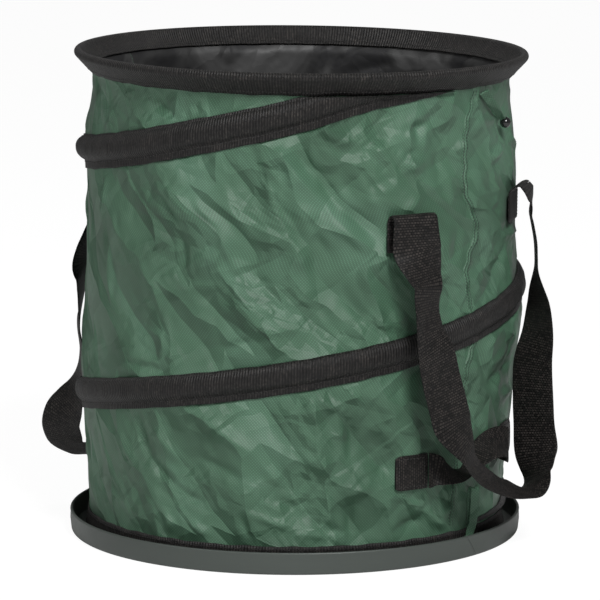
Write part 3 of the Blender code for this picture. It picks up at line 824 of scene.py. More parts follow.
# Folds that show on the front of the wall: start angle and height, end angle and height,
# half width and rise. Angles are in degrees from the middle of the view, the rest in
# millimetres, and a fold with a negative rise is a valley.
SEEN_FOLDS = (
    (-12, 418, -6.7, 381, 9, -2.2), (-6.7, 381, -0.7, 346, 9, -2), (-8.5, 392, -1.5, 329, 16, 3),
    (-1.5, 329, 3.7, 294, 14, 2.6), (-8, 401, -3.3, 383, 9, 2), (-3.3, 383, 5.1, 332, 12, 2.4),
    (-39.6, 369, -32, 335, 9, -2.2), (-32, 335, -29.9, 296, 9, -1.8),
    (-38.2, 371, -25.6, 343, 14, 2.2), (-27.7, 365, -20.8, 342, 9, 2),
    (-20.8, 342, -14.7, 293, 10, 2.2), (-20.2, 369, -7.5, 320, 11, 2.2),
    (-62.2, 381, -67.3, 325, 9, 1.6), (-45.3, 466, -32.8, 439, 8, -2.2),
    (-29.1, 467, -26.1, 445, 7, -2), (-70.6, 457, -60.2, 421, 8, -2.2),
    (-58.9, 447, -64.6, 417, 8, 1.8), (-3.8, 432, 10.3, 368, 14, -2.6),
    (10.3, 368, 23, 323, 12, -2.4), (23, 323, 32.6, 276, 10, -2), (-5.1, 417, 9.3, 354, 14, 2.8),
    (9.3, 354, 20.7, 305, 12, 2.2), (-3.8, 378, 3.2, 352, 9, -1.8),
    (3.2, 352, 10.3, 303, 10, -1.8), (5.6, 434, 11.6, 414, 9, -2), (7.1, 432, 20.6, 417, 12, 2.4),
    (16.7, 416, 24.9, 430, 9, -2.4), (33.7, 441, 34.7, 417, 9, -2.2), (34.7, 417, 27, 396, 9, -2),
    (20.6, 423, 26.4, 396, 14, 2.6), (39.1, 408, 40.9, 383, 8, -1.8),
    (19.8, 376, 27, 390, 9, -1.6), (27, 390, 38.4, 405, 9, 1.8), (19.8, 320, 27.1, 292, 9, -1.6),
    (43.4, 385, 45.8, 352, 8, 1.8), (69, 404, 58.5, 381, 9, 2), (65.7, 298, 73.1, 264, 8, 1.8),
    (74.6, 450, 67.3, 417, 8, -1.6), (-46.8, 146, -42.3, 105, 8, -2.4),
    (-42.3, 105, -31.8, 74, 9, -2.4), (-31.8, 74, -25.1, 65, 8, -2),
    (-43.7, 142, -27.1, 97, 18, 2.6), (-24.4, 149, -10, 115, 11, 2.6),
    (-10, 115, -2, 81, 11, 2.4), (-59.3, 72, -41.7, 29, 13, 2.6), (-64.2, 77, -43.9, 39, 10, -2),
    (-37.1, 54, -34.4, 22, 8, 2), (-29.3, 45, -20.8, 25, 8, 2), (-14.6, 59, -11.9, 27, 8, -2.4),
    (-13.5, 58, 1.4, 43, 8, 2), (-28, 113, -12.9, 91, 9, -2), (-54.9, 125, -47.8, 90, 8, 1.8),
    (-54.7, 195, -31.6, 191, 8, -1.6), (-24.9, 219, 1.4, 236, 9, -1.6),
    (-32.1, 278, -18.9, 279, 9, 1.8), (-21.4, 268, 1.4, 262, 9, -1.4), (2.7, 180, 5.1, 148, 8, 2),
    (4, 178, 14.4, 155, 9, 2.4), (14.4, 160, 14.5, 103, 9, -2.4), (11.5, 156, 12.6, 111, 10, 2),
    (22.5, 144, 27, 123, 8, 1.8), (-1.2, 81, 4.6, 52, 9, 2.2), (14.5, 76, 21.2, 84, 8, 2),
    (14.5, 70, 14.5, 31, 8, -2.4), (4.6, 52, 14.5, 32, 9, -2), (27, 76, 36.6, 48, 9, 2.4),
    (36.6, 48, 27.1, 32, 9, -2.2), (-1.2, 37, 13.4, 31, 7, 1.8), (37.6, 49, 47.4, 22, 8, 2),
    (39.7, 67, 42.7, 30, 8, -2), (52.6, 185, 59.4, 132, 9, -1.6), (73.7, 194, 65.8, 142, 9, 1.6),
    (-18.6, 224, -11.8, 240, 9, 1.6), (-42, 261, -35.1, 219, 10, -1.4),
    (-16.6, 306, -8.6, 270, 10, 1.6), (1.4, 270, 9.3, 240, 10, 1.8),
    (11.9, 279, 19.1, 248, 10, -1.8), (35.1, 372, 28.8, 340, 10, 1.8),
    (47.9, 333, 46.7, 297, 9, -1.6), (24.7, 267, 29.6, 236, 9, 1.8),
    (-9.1, 191, 1.4, 199, 8, 1.4), (9.3, 101, 1.4, 117, 10, 1.8), (-6.5, 72, 1.4, 67, 9, -1.6),
    (20.3, 114, 26.7, 87, 9, -1.8), (58, 390, 70.8, 408, 8, 2.2), (58.6, 403, 67.2, 377, 8, -2.2),
    (71, 420, 87.5, 390, 8, 2), (79.6, 378, 87.5, 349, 8, -2.2), (59.8, 347, 73.8, 332, 8, -2),
    (65.8, 314, 87.5, 310, 8, 2.2), (57.7, 326, 64.6, 288, 8, 2), (73.8, 300, 63.3, 279, 9, -2.2),
    (58.1, 433, 73.7, 435, 8, 1.8), (63.4, 184, 73.8, 199, 8, 2.4),
    (58.9, 160, 81.3, 187, 10, -2.6), (59.9, 200, 67.3, 218, 8, 2), (54.8, 215, 63.4, 163, 9, -2),
    (67.4, 147, 87.5, 153, 9, 2.2), (56.6, 362, 68.7, 361, 8, 1.8), (25.7, 414, 36.8, 385, 9, 2),
    (15, 437, 23.9, 414, 10, 2.2), (16.1, 400, 22.8, 370, 9, -2), (29.3, 431, 37.8, 438, 9, -2),
    (9.2, 391, 15, 353, 10, 2.4), (11.8, 332, 20.6, 305, 10, -2),
)


@dataclass(frozen=True)
class Folds:
    """Creases of the cloth wall: each is a tent across its line, fading at both ends."""

    view_angle: float = 54.5
    reach: float = 0.2125
    count: int = 520
    seed: int = 11
    gain: float = 2.1
    slants: tuple[float, float] = (-58.0, 26.0)
    half_lengths: tuple[float, float] = (10.0, 42.0)
    half_widths: tuple[float, float] = (4.5, 11.0)
    steepness: float = 0.28
    calm_view: tuple[float, float] = (-72.0, 46.0)
    calm_share: float = 0.75
    crest: float = 1.35

    def table(self) -> Array:
        """Seen folds and seeded ones.

        Returns:
            Rows of x and z of both ends, half width and rise, in metres.
        """
        seen = np.array(SEEN_FOLDS, float)
        seen[:, [0, 2]] = np.radians(seen[:, [0, 2]]) * self.reach * 1000.0
        random = np.random.default_rng(self.seed)
        turn = random.uniform(-math.pi, math.pi, self.count) * self.reach * 1000.0
        middle = np.stack([turn, random.uniform(25.0, 475.0, self.count)], 1)
        slant = np.radians(random.normal(*self.slants, self.count))
        half = random.uniform(*self.half_lengths, self.count)[:, None]
        way = np.stack([np.cos(slant), np.sin(slant)], 1) * half
        width = random.uniform(*self.half_widths, self.count)
        rise = random.uniform(0.35, 1.0, self.count) * width * self.steepness
        rise *= random.choice([-1.0, 1.0], self.count)
        view = np.degrees(middle[:, 0] / 1000.0 / self.reach)
        in_view = (view > self.calm_view[0]) & (view < self.calm_view[1])
        rise[in_view] *= self.calm_share
        seen[:, 5] *= self.gain
        made = np.concatenate([middle - way, middle + way, width[:, None], rise[:, None]], 1)
        return np.concatenate([seen, made]) / 1000.0

    def height(self, angle: Array, level: Array) -> Array:
        """How far the creases lift the cloth at each angle and level.

        Each fold adds rise times (1 - across / half width) to the power crest, times
        (1 - (along / half length) squared) squared.

        Args:
            angle: Angles about the axis.
            level: Heights.

        Returns:
            The lift, in metres.
        """
        turn = math.pi * self.reach
        from_view = np.mod(angle + math.radians(self.view_angle) + math.pi, FULL_TURN) - math.pi
        x = from_view * self.reach
        lift = np.zeros(np.broadcast(x, level).shape, np.float32)
        for x0, z0, x1, z1, width, rise in self.table():
            half = math.hypot(x1 - x0, z1 - z0) / 2.0 + width * 0.6
            way_x, way_z = (x1 - x0) / (2.0 * half), (z1 - z0) / (2.0 * half)
            size = math.hypot(way_x, way_z)
            way_x, way_z = way_x / size, way_z / size
            dx = np.mod(x - (x0 + x1) / 2.0 + turn, 2.0 * turn) - turn
            dz = level - (z0 + z1) / 2.0
            along = np.abs(dx * way_x + dz * way_z) / half
            across = np.abs(dz * way_x - dx * way_z) / width
            tent = np.clip(1.0 - across, 0.0, 1.0) ** self.crest
            lift += rise * tent * np.clip(1.0 - along**2, 0.0, 1.0) ** 2
        return lift


@dataclass
class Wall:
    """The fabric drum: two panels sewn together at the sides, black coated inside."""

    finishes: Finishes
    stance: Stance = Stance()
    coil: Coil = Coil()
    folds: Folds = Folds()
    hem: HemProfile = HemProfile()
    foot_radius: float = 0.2105
    wall_radius: float = 0.2145
    neck_radius: float = 0.2103
    foot: float = 0.0110
    binding_top: float = 0.0265
    neck: float = 0.462
    blend: float = 0.110
    hem_low: float = 0.4685
    top: float = 0.4835
    thick: float = 0.0010
    seam_gap: float = 0.0003
    seam_reach: float = 0.0048
    seam_step: float = 0.0006
    columns: int = 236
    seam_columns: int = 9
    rows: int = 168
    calm: float = 0.0175
    # Each bulge: angle from the view's middle, height, spread round and up, and rise. The
    # angles are in degrees and the rest in millimetres.
    bulges: tuple = (
        (-84, 175, 34, 62, 4.5), (-60, 60, 26, 34, 2), (-88, 408, 20, 30, 5),
        (0, 70, 30, 38, 2.5), (20, 300, 34, 60, -1.5), (88, 350, 24, 90, 5),
        (95, 225, 24, 45, 11), (95, 145, 24, 60, 5), (120, 200, 40, 80, 3),
        (-150, 320, 40, 70, 2.5),
    )
    # Pairs of a height in millimetres and the seam's shift there in degrees.
    seam_wave: tuple = (
        (30, -6.8), (70, -6.4), (130, -5.2), (170, -3.8), (215, 0.2), (250, -1.6), (290, -3.0),
        (318, 0.6), (340, -0.2), (365, -4.0), (395, -4.1), (425, -3.2), (450, -0.6), (465, 0.8),
    )
    welt: float = 0.0034
    welt_rise: float = 0.0012
    gather: float = 0.0016
    gather_reach: float = 0.012

    def plain_radius(self, height: Array) -> Array:
        """Radius of the cloth's outside before it creases: eased from foot to swell to neck.

        Args:
            height: Heights.

        Returns:
            Radii.
        """
        swell = smoothstep(height, self.binding_top, self.binding_top + self.blend)
        draw = smoothstep(height, self.neck - self.blend, self.neck)
        radius = self.foot_radius + (self.wall_radius - self.foot_radius) * swell
        radius = radius + (self.neck_radius - self.wall_radius) * draw
        share = smoothstep(height, self.hem_low - 0.004, self.hem_low + 0.003)
        return radius + (self.hem.cloth_radius(height) - radius) * share

    def seam_shift(self, height: Array) -> Array:
        """How far the side seams wander, as an angle, where the cloth pulls them."""
        table = smooth_rows(self.seam_wave, 6)
        return np.radians(np.interp(height * 1000.0, table[:, 0], table[:, 1]))

    def ease(self, angle: Array, height: Array) -> Array:
        """Share of the creases that shows: none under tapes and sewn ends.

        Args:
            angle: Angles on the wall.
            height: Their heights.

        Returns:
            Shares from 0 to 1.
        """
        away = self.coil.distance(angle, height)
        share = smoothstep(away, self.calm - 0.002, self.calm + 0.009)
        share = share * smoothstep(height, self.binding_top, self.binding_top + 0.014)
        share = share * (1.0 - smoothstep(height, self.hem_low - 0.014, self.hem_low - 0.001))
        for middle, level, half_angle, half_height in sewn_places():
            off = np.abs(np.mod(angle - middle + math.pi, FULL_TURN) - math.pi) / half_angle
            over = np.abs(height - level) / half_height
            share = share * smoothstep(np.maximum(off, over), 1.0, 1.55)
        return share

    def radius(self, angle: Array, height: Array) -> Array:
        """Radius of the cloth's outside with its bulges, creases and seam.

        It is the plain radius, plus a Gaussian hill for each bulge, plus the folds' lift less
        a gather at the seam where nothing is sewn, plus the seam's raised welt.

        Args:
            angle: Angles on the wall.
            height: Their heights.

        Returns:
            Radii.
        """
        angle, height = np.broadcast_arrays(angle, height)
        lift = self.folds.height(angle, height)
        view = np.degrees(angle) + self.folds.view_angle
        swell = np.zeros(angle.shape)
        for middle, level, wide, high, rise in self.bulges:
            off = np.mod(view - middle + 180.0, 360.0) - 180.0
            swell += rise / 1000.0 * np.exp(
                -((off / wide) ** 2) - ((height * 1000.0 - level) / high) ** 2
            )
        fade = smoothstep(height, self.binding_top, self.binding_top + 0.03)
        fade = fade * (1.0 - smoothstep(height, self.hem_low - 0.05, self.hem_low))
        seam = np.abs(np.sin(angle - self.seam_shift(height))) * self.wall_radius
        gather = self.gather * np.exp(-((seam / self.gather_reach) ** 2))
        gather = gather * (1.0 + 0.5 * np.cos(height * 330.0))
        welt = self.welt_rise * (1.0 - smoothstep(seam, self.welt, self.welt + 0.0008))
        welt = welt * smoothstep(seam, 0.0, 0.0010)
        ease = self.ease(angle, height)
        return self.plain_radius(height) + swell * fade + (lift - gather) * ease + welt * fade

    def build_panel(self, name: str, node: str, start: float) -> Piece:
        """One panel: its outside carried half way round, with its coated inside behind.

        Args:
            name: The piece's name.
            node: The frame's solid that it stands for.
            start: Angle of its first side seam.

        Returns:
            The panel.
        """
        clear = self.seam_gap / (2.0 * self.wall_radius)
        reach, step = self.seam_reach / self.wall_radius, self.seam_step / self.wall_radius
        near = np.linspace(clear, reach, self.seam_columns, endpoint=False)
        middle = np.linspace(near[-1] + step, math.pi - near[-1] - step, self.columns)
        angles = start + np.concatenate([near, middle, math.pi - near[::-1]])
        heights = np.linspace(self.foot, self.top, self.rows)
        angle, height = np.meshgrid(angles, heights, indexing="ij")
        angle = angle + self.seam_shift(height)
        radius = self.radius(angle, height)
        outer = self.stance.settle(polar(angle, radius, height))
        inner = self.stance.settle(polar(angle, radius - self.thick, height))
        rings = np.concatenate([outer, inner[:, ::-1]], 1)
        along = (angles - start) * self.wall_radius
        levels = np.concatenate([heights, heights[::-1], heights[:1]])
        slots = np.concatenate([np.zeros(self.rows, int), np.ones(self.rows, int)])
        piece = skin(
            name, rings, along, levels, (self.finishes.cloth, self.finishes.lining), slots
        )
        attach(piece, Body.BASE.value)
        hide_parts(node)
        return fold_down(piece)

    def build(self) -> list[Piece]:
        """Both panels."""
        return [
            self.build_panel("front_panel_cloth", "front_panel", -math.pi),
            self.build_panel("back_panel_cloth", "back_panel", 0.0),
        ]


def sewn_places() -> list[tuple[float, float, float, float]]:
    """Where straps are sewn to the wall.

    Returns:
        Middle angle, middle height, half angle and half height of every sewn strap end.
    """
    places = []
    for side, off, height in (
        (0.0, -22.5, 0.330), (0.0, 22.5, 0.346), (math.pi, -22.5, 0.2935), (math.pi, 17.2, 0.289)
    ):
        places.append((side + math.radians(off), height, 0.125, 0.020))
    for side, heights in ((0.0, (0.0945, 0.1035)), (math.pi, (0.0644, 0.0644))):
        for sign, height in zip((-1.0, 1.0), heights):
            places.append((side + sign * math.radians(22.2), height, 0.100, 0.0185))
    return places


def fold_down(piece: Piece) -> Piece:
    """Give a soft piece of the wall a mesh of its own."""
    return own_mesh(piece)


# Stitches


@dataclass
class Stitching:
    """Rows of thread stitches, each a small spindle lying on the cloth."""

    pitch: float = 0.0036
    length: float = 0.0026
    half_width: float = 0.00055
    half_height: float = 0.00030
    probe: float = 0.0005

    def build(self, name: str, rows: Sequence[tuple[Array, Array]], material: Material) -> Piece:
        """Stitches along some rows.

        Each stitch is three squares of points: small ones at its ends and a full one in
        its middle, carried along the row's way.

        Args:
            name: The piece's name.
            rows: Points along a row on the surface, and the surface's outward way there.
            material: The thread.

        Returns:
            One piece with every stitch.
        """
        middles, ways, outs = [], [], []
        for points, outward in rows:
            length = run_length(points)
            count = max(int(length[-1] / self.pitch), 1)
            at = (np.arange(count) + 0.5) * length[-1] / count
            ahead = sample(at + self.probe, length, points)
            middles.append(sample(at, length, points))
            ways.append(unit(ahead - sample(at - self.probe, length, points)))
            outs.append(unit(sample(at, length, outward)))
        middle, way, out = (np.concatenate(a) for a in (middles, ways, outs))
        side = unit(np.cross(way, out))
        squares = []
        for along, size in ((-0.5, 0.35), (0.0, 1.0), (0.5, 0.35)):
            centre = middle + way * (self.length * along)
            for across, up in ((-1, 0), (0, 1), (1, 0), (0, -1)):
                squares.append(
                    centre + side * (across * size * self.half_width)
                    + out * (up * size * self.half_height)
                )
        points = np.stack(squares, 1)
        k, near = np.arange(4), (np.arange(4) + 1) % 4
        side = np.stack([k, near, 4 + near, 4 + k], 1)
        sides = np.concatenate([side, side + 4, [[3, 2, 1, 0], [8, 9, 10, 11]]])
        quads = (np.arange(len(points))[:, None, None] * 12 + sides[None]).reshape(-1, 4)
        a, b, c, d = (points.reshape(-1, 3)[quads[:10, i]] - points[0, 4] for i in range(4))
        if float((a * (np.cross(b, c) + np.cross(c, d))).sum()) < 0.0:
            quads = quads[:, ::-1]
        points, slots = points.reshape(-1, 3), np.zeros(len(quads), int)
        return solid(name, points, quads, np.zeros((len(quads), 4, 2)), slots, (material,))


# Tapes and wires


@dataclass
class Hem:
    """The flared tape at the top, folded round its hoop of wire."""

    finishes: Finishes
    stance: Stance = Stance()
    profile: HemProfile = HemProfile()
    steps: int = 360
    wave: float = 0.00035
    ripple: float = 0.00008
    wire_radius: float = 0.0020
    wire_gap: float = 0.0004
    ferrule_length: float = 0.030
    ferrule_wall: float = 0.0008
    ferrule_pinch: float = 0.00025
    stitch_heights: tuple[float, float] = (0.4725, 0.4775)
    stitch_proud: float = 0.00015

    def place(self, angle: Array, radius: Array, height: Array) -> Array:
        """Points of the hem, its lower edges a little wavy where the stitches pull.

        Args:
            angle: Angles about the axis.
            radius: Distances from it.
            height: Heights.

        Returns:
            The points.
        """
        low = 1.0 - smoothstep(height, 0.4670, 0.480)
        pull = np.sin(angle * 23.0) + 0.6 * np.sin(angle * 41.0 + 1.0) + 0.5 * np.sin(angle * 67.0)
        points = polar(angle, radius + self.ripple * pull * low, height + self.wave * pull * low)
        return self.stance.settle(points)

    def build_hoop(self) -> list[Piece]:
        """The hoop of wire, whose ends meet inside a crimped ferrule at the back.

        Returns:
            The wire and the ferrule.
        """
        radius, height = self.profile.hoop_radius, self.profile.hoop_height
        back = math.radians(90.0)
        clear, reach = self.wire_gap / radius, self.ferrule_length / 2.0 / radius
        wire = tube(
            "hem_hoop_wire", np.linspace(back + clear, back + FULL_TURN - clear, 200), radius,
            height, self.wire_radius, self.stance, self.finishes.wire,
        )
        share = np.abs(np.linspace(-1.0, 1.0, 25))
        wall = self.ferrule_wall - self.ferrule_pinch * np.exp(-(((share - 0.45) / 0.12) ** 2))
        ferrule = tube(
            "hem_hoop_ferrule", np.linspace(back - reach, back + reach, 25), radius, height,
            self.wire_radius + wall, self.stance, self.finishes.zinc,
        )
        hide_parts("top_hoop")
        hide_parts("top_ferrule")
        return [wire, ferrule]

    def build(self) -> list[Piece]:
        """The tape, its rows of stitches, the hoop and the hoop's ferrule.

        Returns:
            The pieces.
        """
        outline = self.profile.outline()
        angles = np.linspace(0.0, FULL_TURN, self.steps, endpoint=False)
        rings = self.place(angles[:, None], outline[None, :, 0], outline[None, :, 1])
        radius = self.profile.hoop_radius
        tape = ring_tape("hem_tape", rings, outline, radius, self.finishes.tape)
        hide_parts("rim_binding")

        fine = np.linspace(0.0, FULL_TURN, 721)
        rows = []
        outer, _, inner = self.profile.sides(0.0)
        for height, leaf, sign in zip(self.stitch_heights, (outer, inner), (1.0, -1.0)):
            radius = float(np.interp(height, leaf[:, 1], leaf[:, 0])) + sign * self.stitch_proud
            points = self.place(fine, np.full(fine.shape, radius), np.full(fine.shape, height))
            rows.append((points, polar(fine, sign * 0.8, -0.6)))
        thread = Stitching().build("hem_stitches", rows, self.finishes.black_thread)
        pieces = [tape, thread, *self.build_hoop()]
        for piece in pieces:
            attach(piece, Body.RIM.value)
        return pieces


def ring_tape(
    name: str, rings: Array, outline: Array, radius: float, material: Material
) -> Piece:
    """A tape carried all round the bag.

    Args:
        name: The piece's name.
        rings: Its points, stations by section by three.
        outline: The section as (radius, height) rows.
        radius: Radius at which its pattern keeps its true length.
        material: The tape's material.

    Returns:
        The tape.
    """
    around = run_length(np.concatenate([outline, outline[:1]]))
    along = np.linspace(0.0, FULL_TURN * radius, len(rings) + 1)
    tape = skin(name, rings, along, around, (material,), closed_path=True)
    return tape


def tube(
    name: str, angles: Array, radii: float | Array, heights: float | Array,
    half: float | Array, stance: Stance, material: Material,
) -> Piece:
    """A round bar round the axis: a circle in the upright plane carried along the angles.

    Args:
        name: The piece's name.
        angles: Angles of its stations about the bag's axis.
        radii: Distance of its middle from the axis, there or throughout.
        heights: Height of its middle.
        half: Its own radius.
        stance: How the bag stands.
        material: The metal.

    Returns:
        The bar.
    """
    turn = np.linspace(0.0, FULL_TURN, 12, endpoint=False)
    radii, heights, half = (
        np.broadcast_to(a, angles.shape)[:, None] for a in (radii, heights, half)
    )
    points = polar(angles[:, None], radii + half * np.cos(turn), heights + half * np.sin(turn))
    rings = stance.settle(points)
    around = np.linspace(0.0, FULL_TURN * float(half.mean()), 13)
    return skin(name, rings, run_length(rings[:, 0]), around, (material,))


@dataclass
class FootBinding:
    """The tape folded round the hoop at the foot of the wall."""

    finishes: Finishes
    hoop_radius: float = 0.2100
    hoop_height: float = 0.007155
    band: float = 0.0043
    top: float = 0.0247
    tape: float = 0.0010
    outer: float = 0.2118
    inner: float = 0.2082
    bend_up: float = 0.009
    arc_ends: tuple[float, float] = (25.0, -205.0)
    wave: float = 0.0004
    ripple: float = 0.00008
    stitch_down: float = 0.0035
    stitch_proud: float = 0.0002
    steps: int = 240

    def leaf(self, radius: float, join: Array) -> Array:
        """Quadratic curve down one leaf, from the top edge to the hoop.

        Args:
            radius: Radius of the top edge.
            join: Where it meets the run under the hoop.

        Returns:
            Rows of (radius, height), without the join.
        """
        bend = np.array([radius, self.hoop_height + self.bend_up])
        t = np.linspace(0.0, 1.0, 8)[:-1] ** 0.8
        return quadratic(np.array([radius, self.top]), bend, join, t)

    def run(self, inset: float) -> Array:
        """The outer leaf, the run under the hoop and the inner leaf.

        Args:
            inset: Distance from the tape's outside.

        Returns:
            Rows of (radius, height).
        """
        turn = np.linspace(*np.radians(self.arc_ends), 18)
        arc = np.stack([np.cos(turn), np.sin(turn)], 1)
        arc = np.array([self.hoop_radius, self.hoop_height]) + arc * (self.band - inset)
        return np.concatenate([
            self.leaf(self.outer - inset, arc[0]), arc,
            self.leaf(self.inner + inset, arc[-1])[::-1],
        ])

    def build(self) -> list[Piece]:
        """The tape as two leaves that close on the cloth, and its row of stitches.

        Returns:
            The tape and the stitches.
        """
        outline = np.concatenate([self.run(0.0), self.run(self.tape)[::-1]])
        angles = np.linspace(0.0, FULL_TURN, self.steps, endpoint=False)
        pull = np.sin(angles * 31.0) + 0.6 * np.sin(angles * 53.0 + 2.0)
        lift = np.clip((outline[:, 1] - 0.016) / 0.008, 0.0, 1.0)
        height = outline[None, :, 1] + self.wave * pull[:, None] * lift[None, :]
        radius = outline[None, :, 0] + self.ripple * np.roll(pull, 5)[:, None] * lift[None, :]
        rings = polar(angles[:, None], radius, height)
        tape = ring_tape(
            "foot_binding_tape", rings, outline, self.hoop_radius, self.finishes.tape
        )
        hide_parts("bottom_binding")
        fine = np.linspace(0.0, FULL_TURN, 721)
        row = polar(fine, self.outer + self.stitch_proud, self.top - self.stitch_down)
        thread = Stitching().build(
            "foot_binding_stitches", [(row, polar(fine, 1.0, 0.0))], self.finishes.black_thread
        )
        for piece in (tape, thread):
            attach(piece, Body.BASE.value)
        return [tape, thread]


@dataclass
class CoilCasing:
    """The tape sewn over the coiled wire, and the wire that runs in it."""

    finishes: Finishes
    wall: Wall
    width: float = 0.0345
    late_width: float = 0.0315
    tape: float = 0.0012
    gap: float = 0.0003
    hump: float = 0.0060
    hump_half: float = 0.0122
    hump_up: float = 0.0034
    end_back: float = 0.0150
    wire_radius: float = 0.0020
    wire_short: float = 0.0075
    stitch_shares: tuple[float, float] = (-0.62, 0.86)
    low_limit: float = 0.0322
    high_limit: float = 0.4740
    reach: float = 0.0195
    step: float = math.radians(1.5)
    across_steps: int = 26

    def stations(self, reach: float) -> Array:
        """Angles of travel where the wire is within a reach past its end levels.

        Args:
            reach: Height past the two limits, negative for short of them.

        Returns:
            Angles from the wire's start.
        """
        longest = self.wall.coil.turns * FULL_TURN - self.end_back / self.wall.foot_radius
        travel = np.arange(math.radians(4.0), longest, self.step)
        height = self.wall.coil.height(travel)
        inside = (height <= self.high_limit + reach) & (height >= self.low_limit - reach)
        return travel[inside]

    def half(self, travel: Array) -> Array:
        """Half the tape's width, which the second turn draws in a little."""
        late = smoothstep(np.degrees(travel), 130.0, 380.0)
        return (self.width + (self.late_width - self.width) * late) / 2.0

    def lift(self, travel: Array, across: Array) -> Array:
        """Rise of the tape over the wire: a hump that falls to a flat sewn edge below.

        Args:
            travel: Angles of travel.
            across: Heights above the wire's middle.

        Returns:
            Rises off the wall.
        """
        height = self.wall.coil.height(travel)
        past = np.maximum(np.maximum(height - self.high_limit, self.low_limit - height), 0.0)
        proud = self.hump * np.clip(1.0 - past / self.reach, 0.0, 1.0)
        left = np.exp(-(((np.degrees(travel) - 140.0) / 34.0) ** 2))
        proud = proud * (1.0 + 0.35 * left)
        proud = proud * (1.0 - smoothstep(np.degrees(travel), 685.0, 712.0))
        off = np.abs(across - self.hump_up) / self.hump_half
        pucker = 1.0 + 0.05 * np.sin(travel * 47.0) + 0.04 * np.sin(travel * 83.0)
        return proud * pucker * np.clip(1.0 - off**2.4, 0.0, 1.0) ** 0.75

    def surface(self, travel: Array, share: Array, out: float) -> Array:
        """Points on the tape at a share of its half width, lifted off the wall by out.

        Args:
            travel: Angles of travel.
            share: Shares of its half width, from -1 to 1.
            out: Lift, in metres.

        Returns:
            The points.
        """
        angle = self.wall.coil.start_angle - travel
        edge = 0.00022 * (np.sin(travel * 29.0) + 0.7 * np.sin(travel * 53.0))
        across = share * self.half(travel) + edge
        height = self.wall.coil.height(travel) + across
        height = np.clip(height, self.wall.binding_top + 0.0005, self.wall.hem_low - 0.0003)
        radius = self.wall.radius(angle, height) + self.gap + self.lift(travel, across) + out
        return self.wall.stance.settle(polar(angle, radius, height))

    def build(self) -> list[Piece]:
        """The tape, its two rows of stitches and the wire.

        Returns:
            The pieces.
        """
        travel = self.stations(self.reach)[:, None]
        share = np.linspace(-1.0, 1.0, self.across_steps)[None, :]
        inside = self.surface(travel, share, 0.0)
        outside = self.surface(travel, share, self.tape)
        rings = np.concatenate([inside, outside[:, ::-1]], 1)
        along = run_length(rings[:, self.across_steps // 2])
        level = np.linspace(0.0, self.width, self.across_steps)
        around = np.concatenate([level, level[::-1], level[:1]])
        tape = skin("coil_casing_tape", rings, along, around, (self.finishes.tape,))
        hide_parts("spiral_casing")

        travel = self.stations(self.reach * 0.5)
        rows = []
        for share in self.stitch_shares:
            points = self.surface(travel, np.full(travel.shape, share), self.tape + 0.0001)
            rows.append((points, polar(self.wall.coil.start_angle - travel, 1.0, 0.0)))
        thread = Stitching(pitch=0.0042, length=0.0030).build(
            "coil_casing_stitches", rows, self.finishes.black_thread
        )
        travel = self.stations(-self.wire_short)
        height = self.wall.coil.height(travel)
        angle = self.wall.coil.start_angle - travel
        radius = self.wall.radius(angle, height) + self.gap + self.wire_radius
        wire = tube("coil_wire", angle, radius, height, self.wire_radius, self.wall.stance,
                    self.finishes.wire)
        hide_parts("spiral_spring")
        pieces = [tape, thread, wire]
        for piece in pieces:
            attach(piece, Body.BASE.value)
            fold_down(piece)
        return pieces


@dataclass
class OnWall:
    """Something sewn to one side of the wall."""

    finishes: Finishes
    wall: Wall
    side: Side

    def place(self, angle: Array, radius: Array, height: Array) -> Array:
        """Points of the standing bag, from angle, radius and height on the upright one."""
        return self.wall.stance.settle(polar(angle, radius, height))


@dataclass
class SideSeam(OnWall):
    """The double stitched seam where the two panels meet."""

    apart: float = 0.0024
    low: float = 0.030
    high: float = 0.466
    clear: float = 0.0185
    steps: int = 300

    def build(self) -> list[Piece]:
        """Two rows of stitches along the raised welt of the seam.

        Returns:
            The stitches.
        """
        height = np.linspace(self.low, self.high, self.steps)
        angle = math.radians(self.side.value)
        shift = self.wall.seam_shift(height)
        clear = self.wall.coil.distance(angle + shift, height) > self.clear
        runs = np.split(np.arange(self.steps), np.nonzero(np.diff(clear.astype(int)))[0] + 1)
        rows = []
        for offset in (-self.apart, self.apart):
            turn = angle + offset / self.wall.wall_radius + shift
            radius = self.wall.radius(turn, height) + 0.0002
            points = self.place(turn, radius, height)
            for run in runs:
                if clear[run[0]] and len(run) > 4:
                    rows.append((points[run], polar(turn[run], 1.0, 0.0)))
        thread = Stitching(pitch=0.0034, length=0.0025).build(
            f"side_seam_stitches_{self.side.label}", rows, self.finishes.green_thread
        )
        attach(thread, Body.BASE.value)
        return [fold_down(thread)]


# Straps


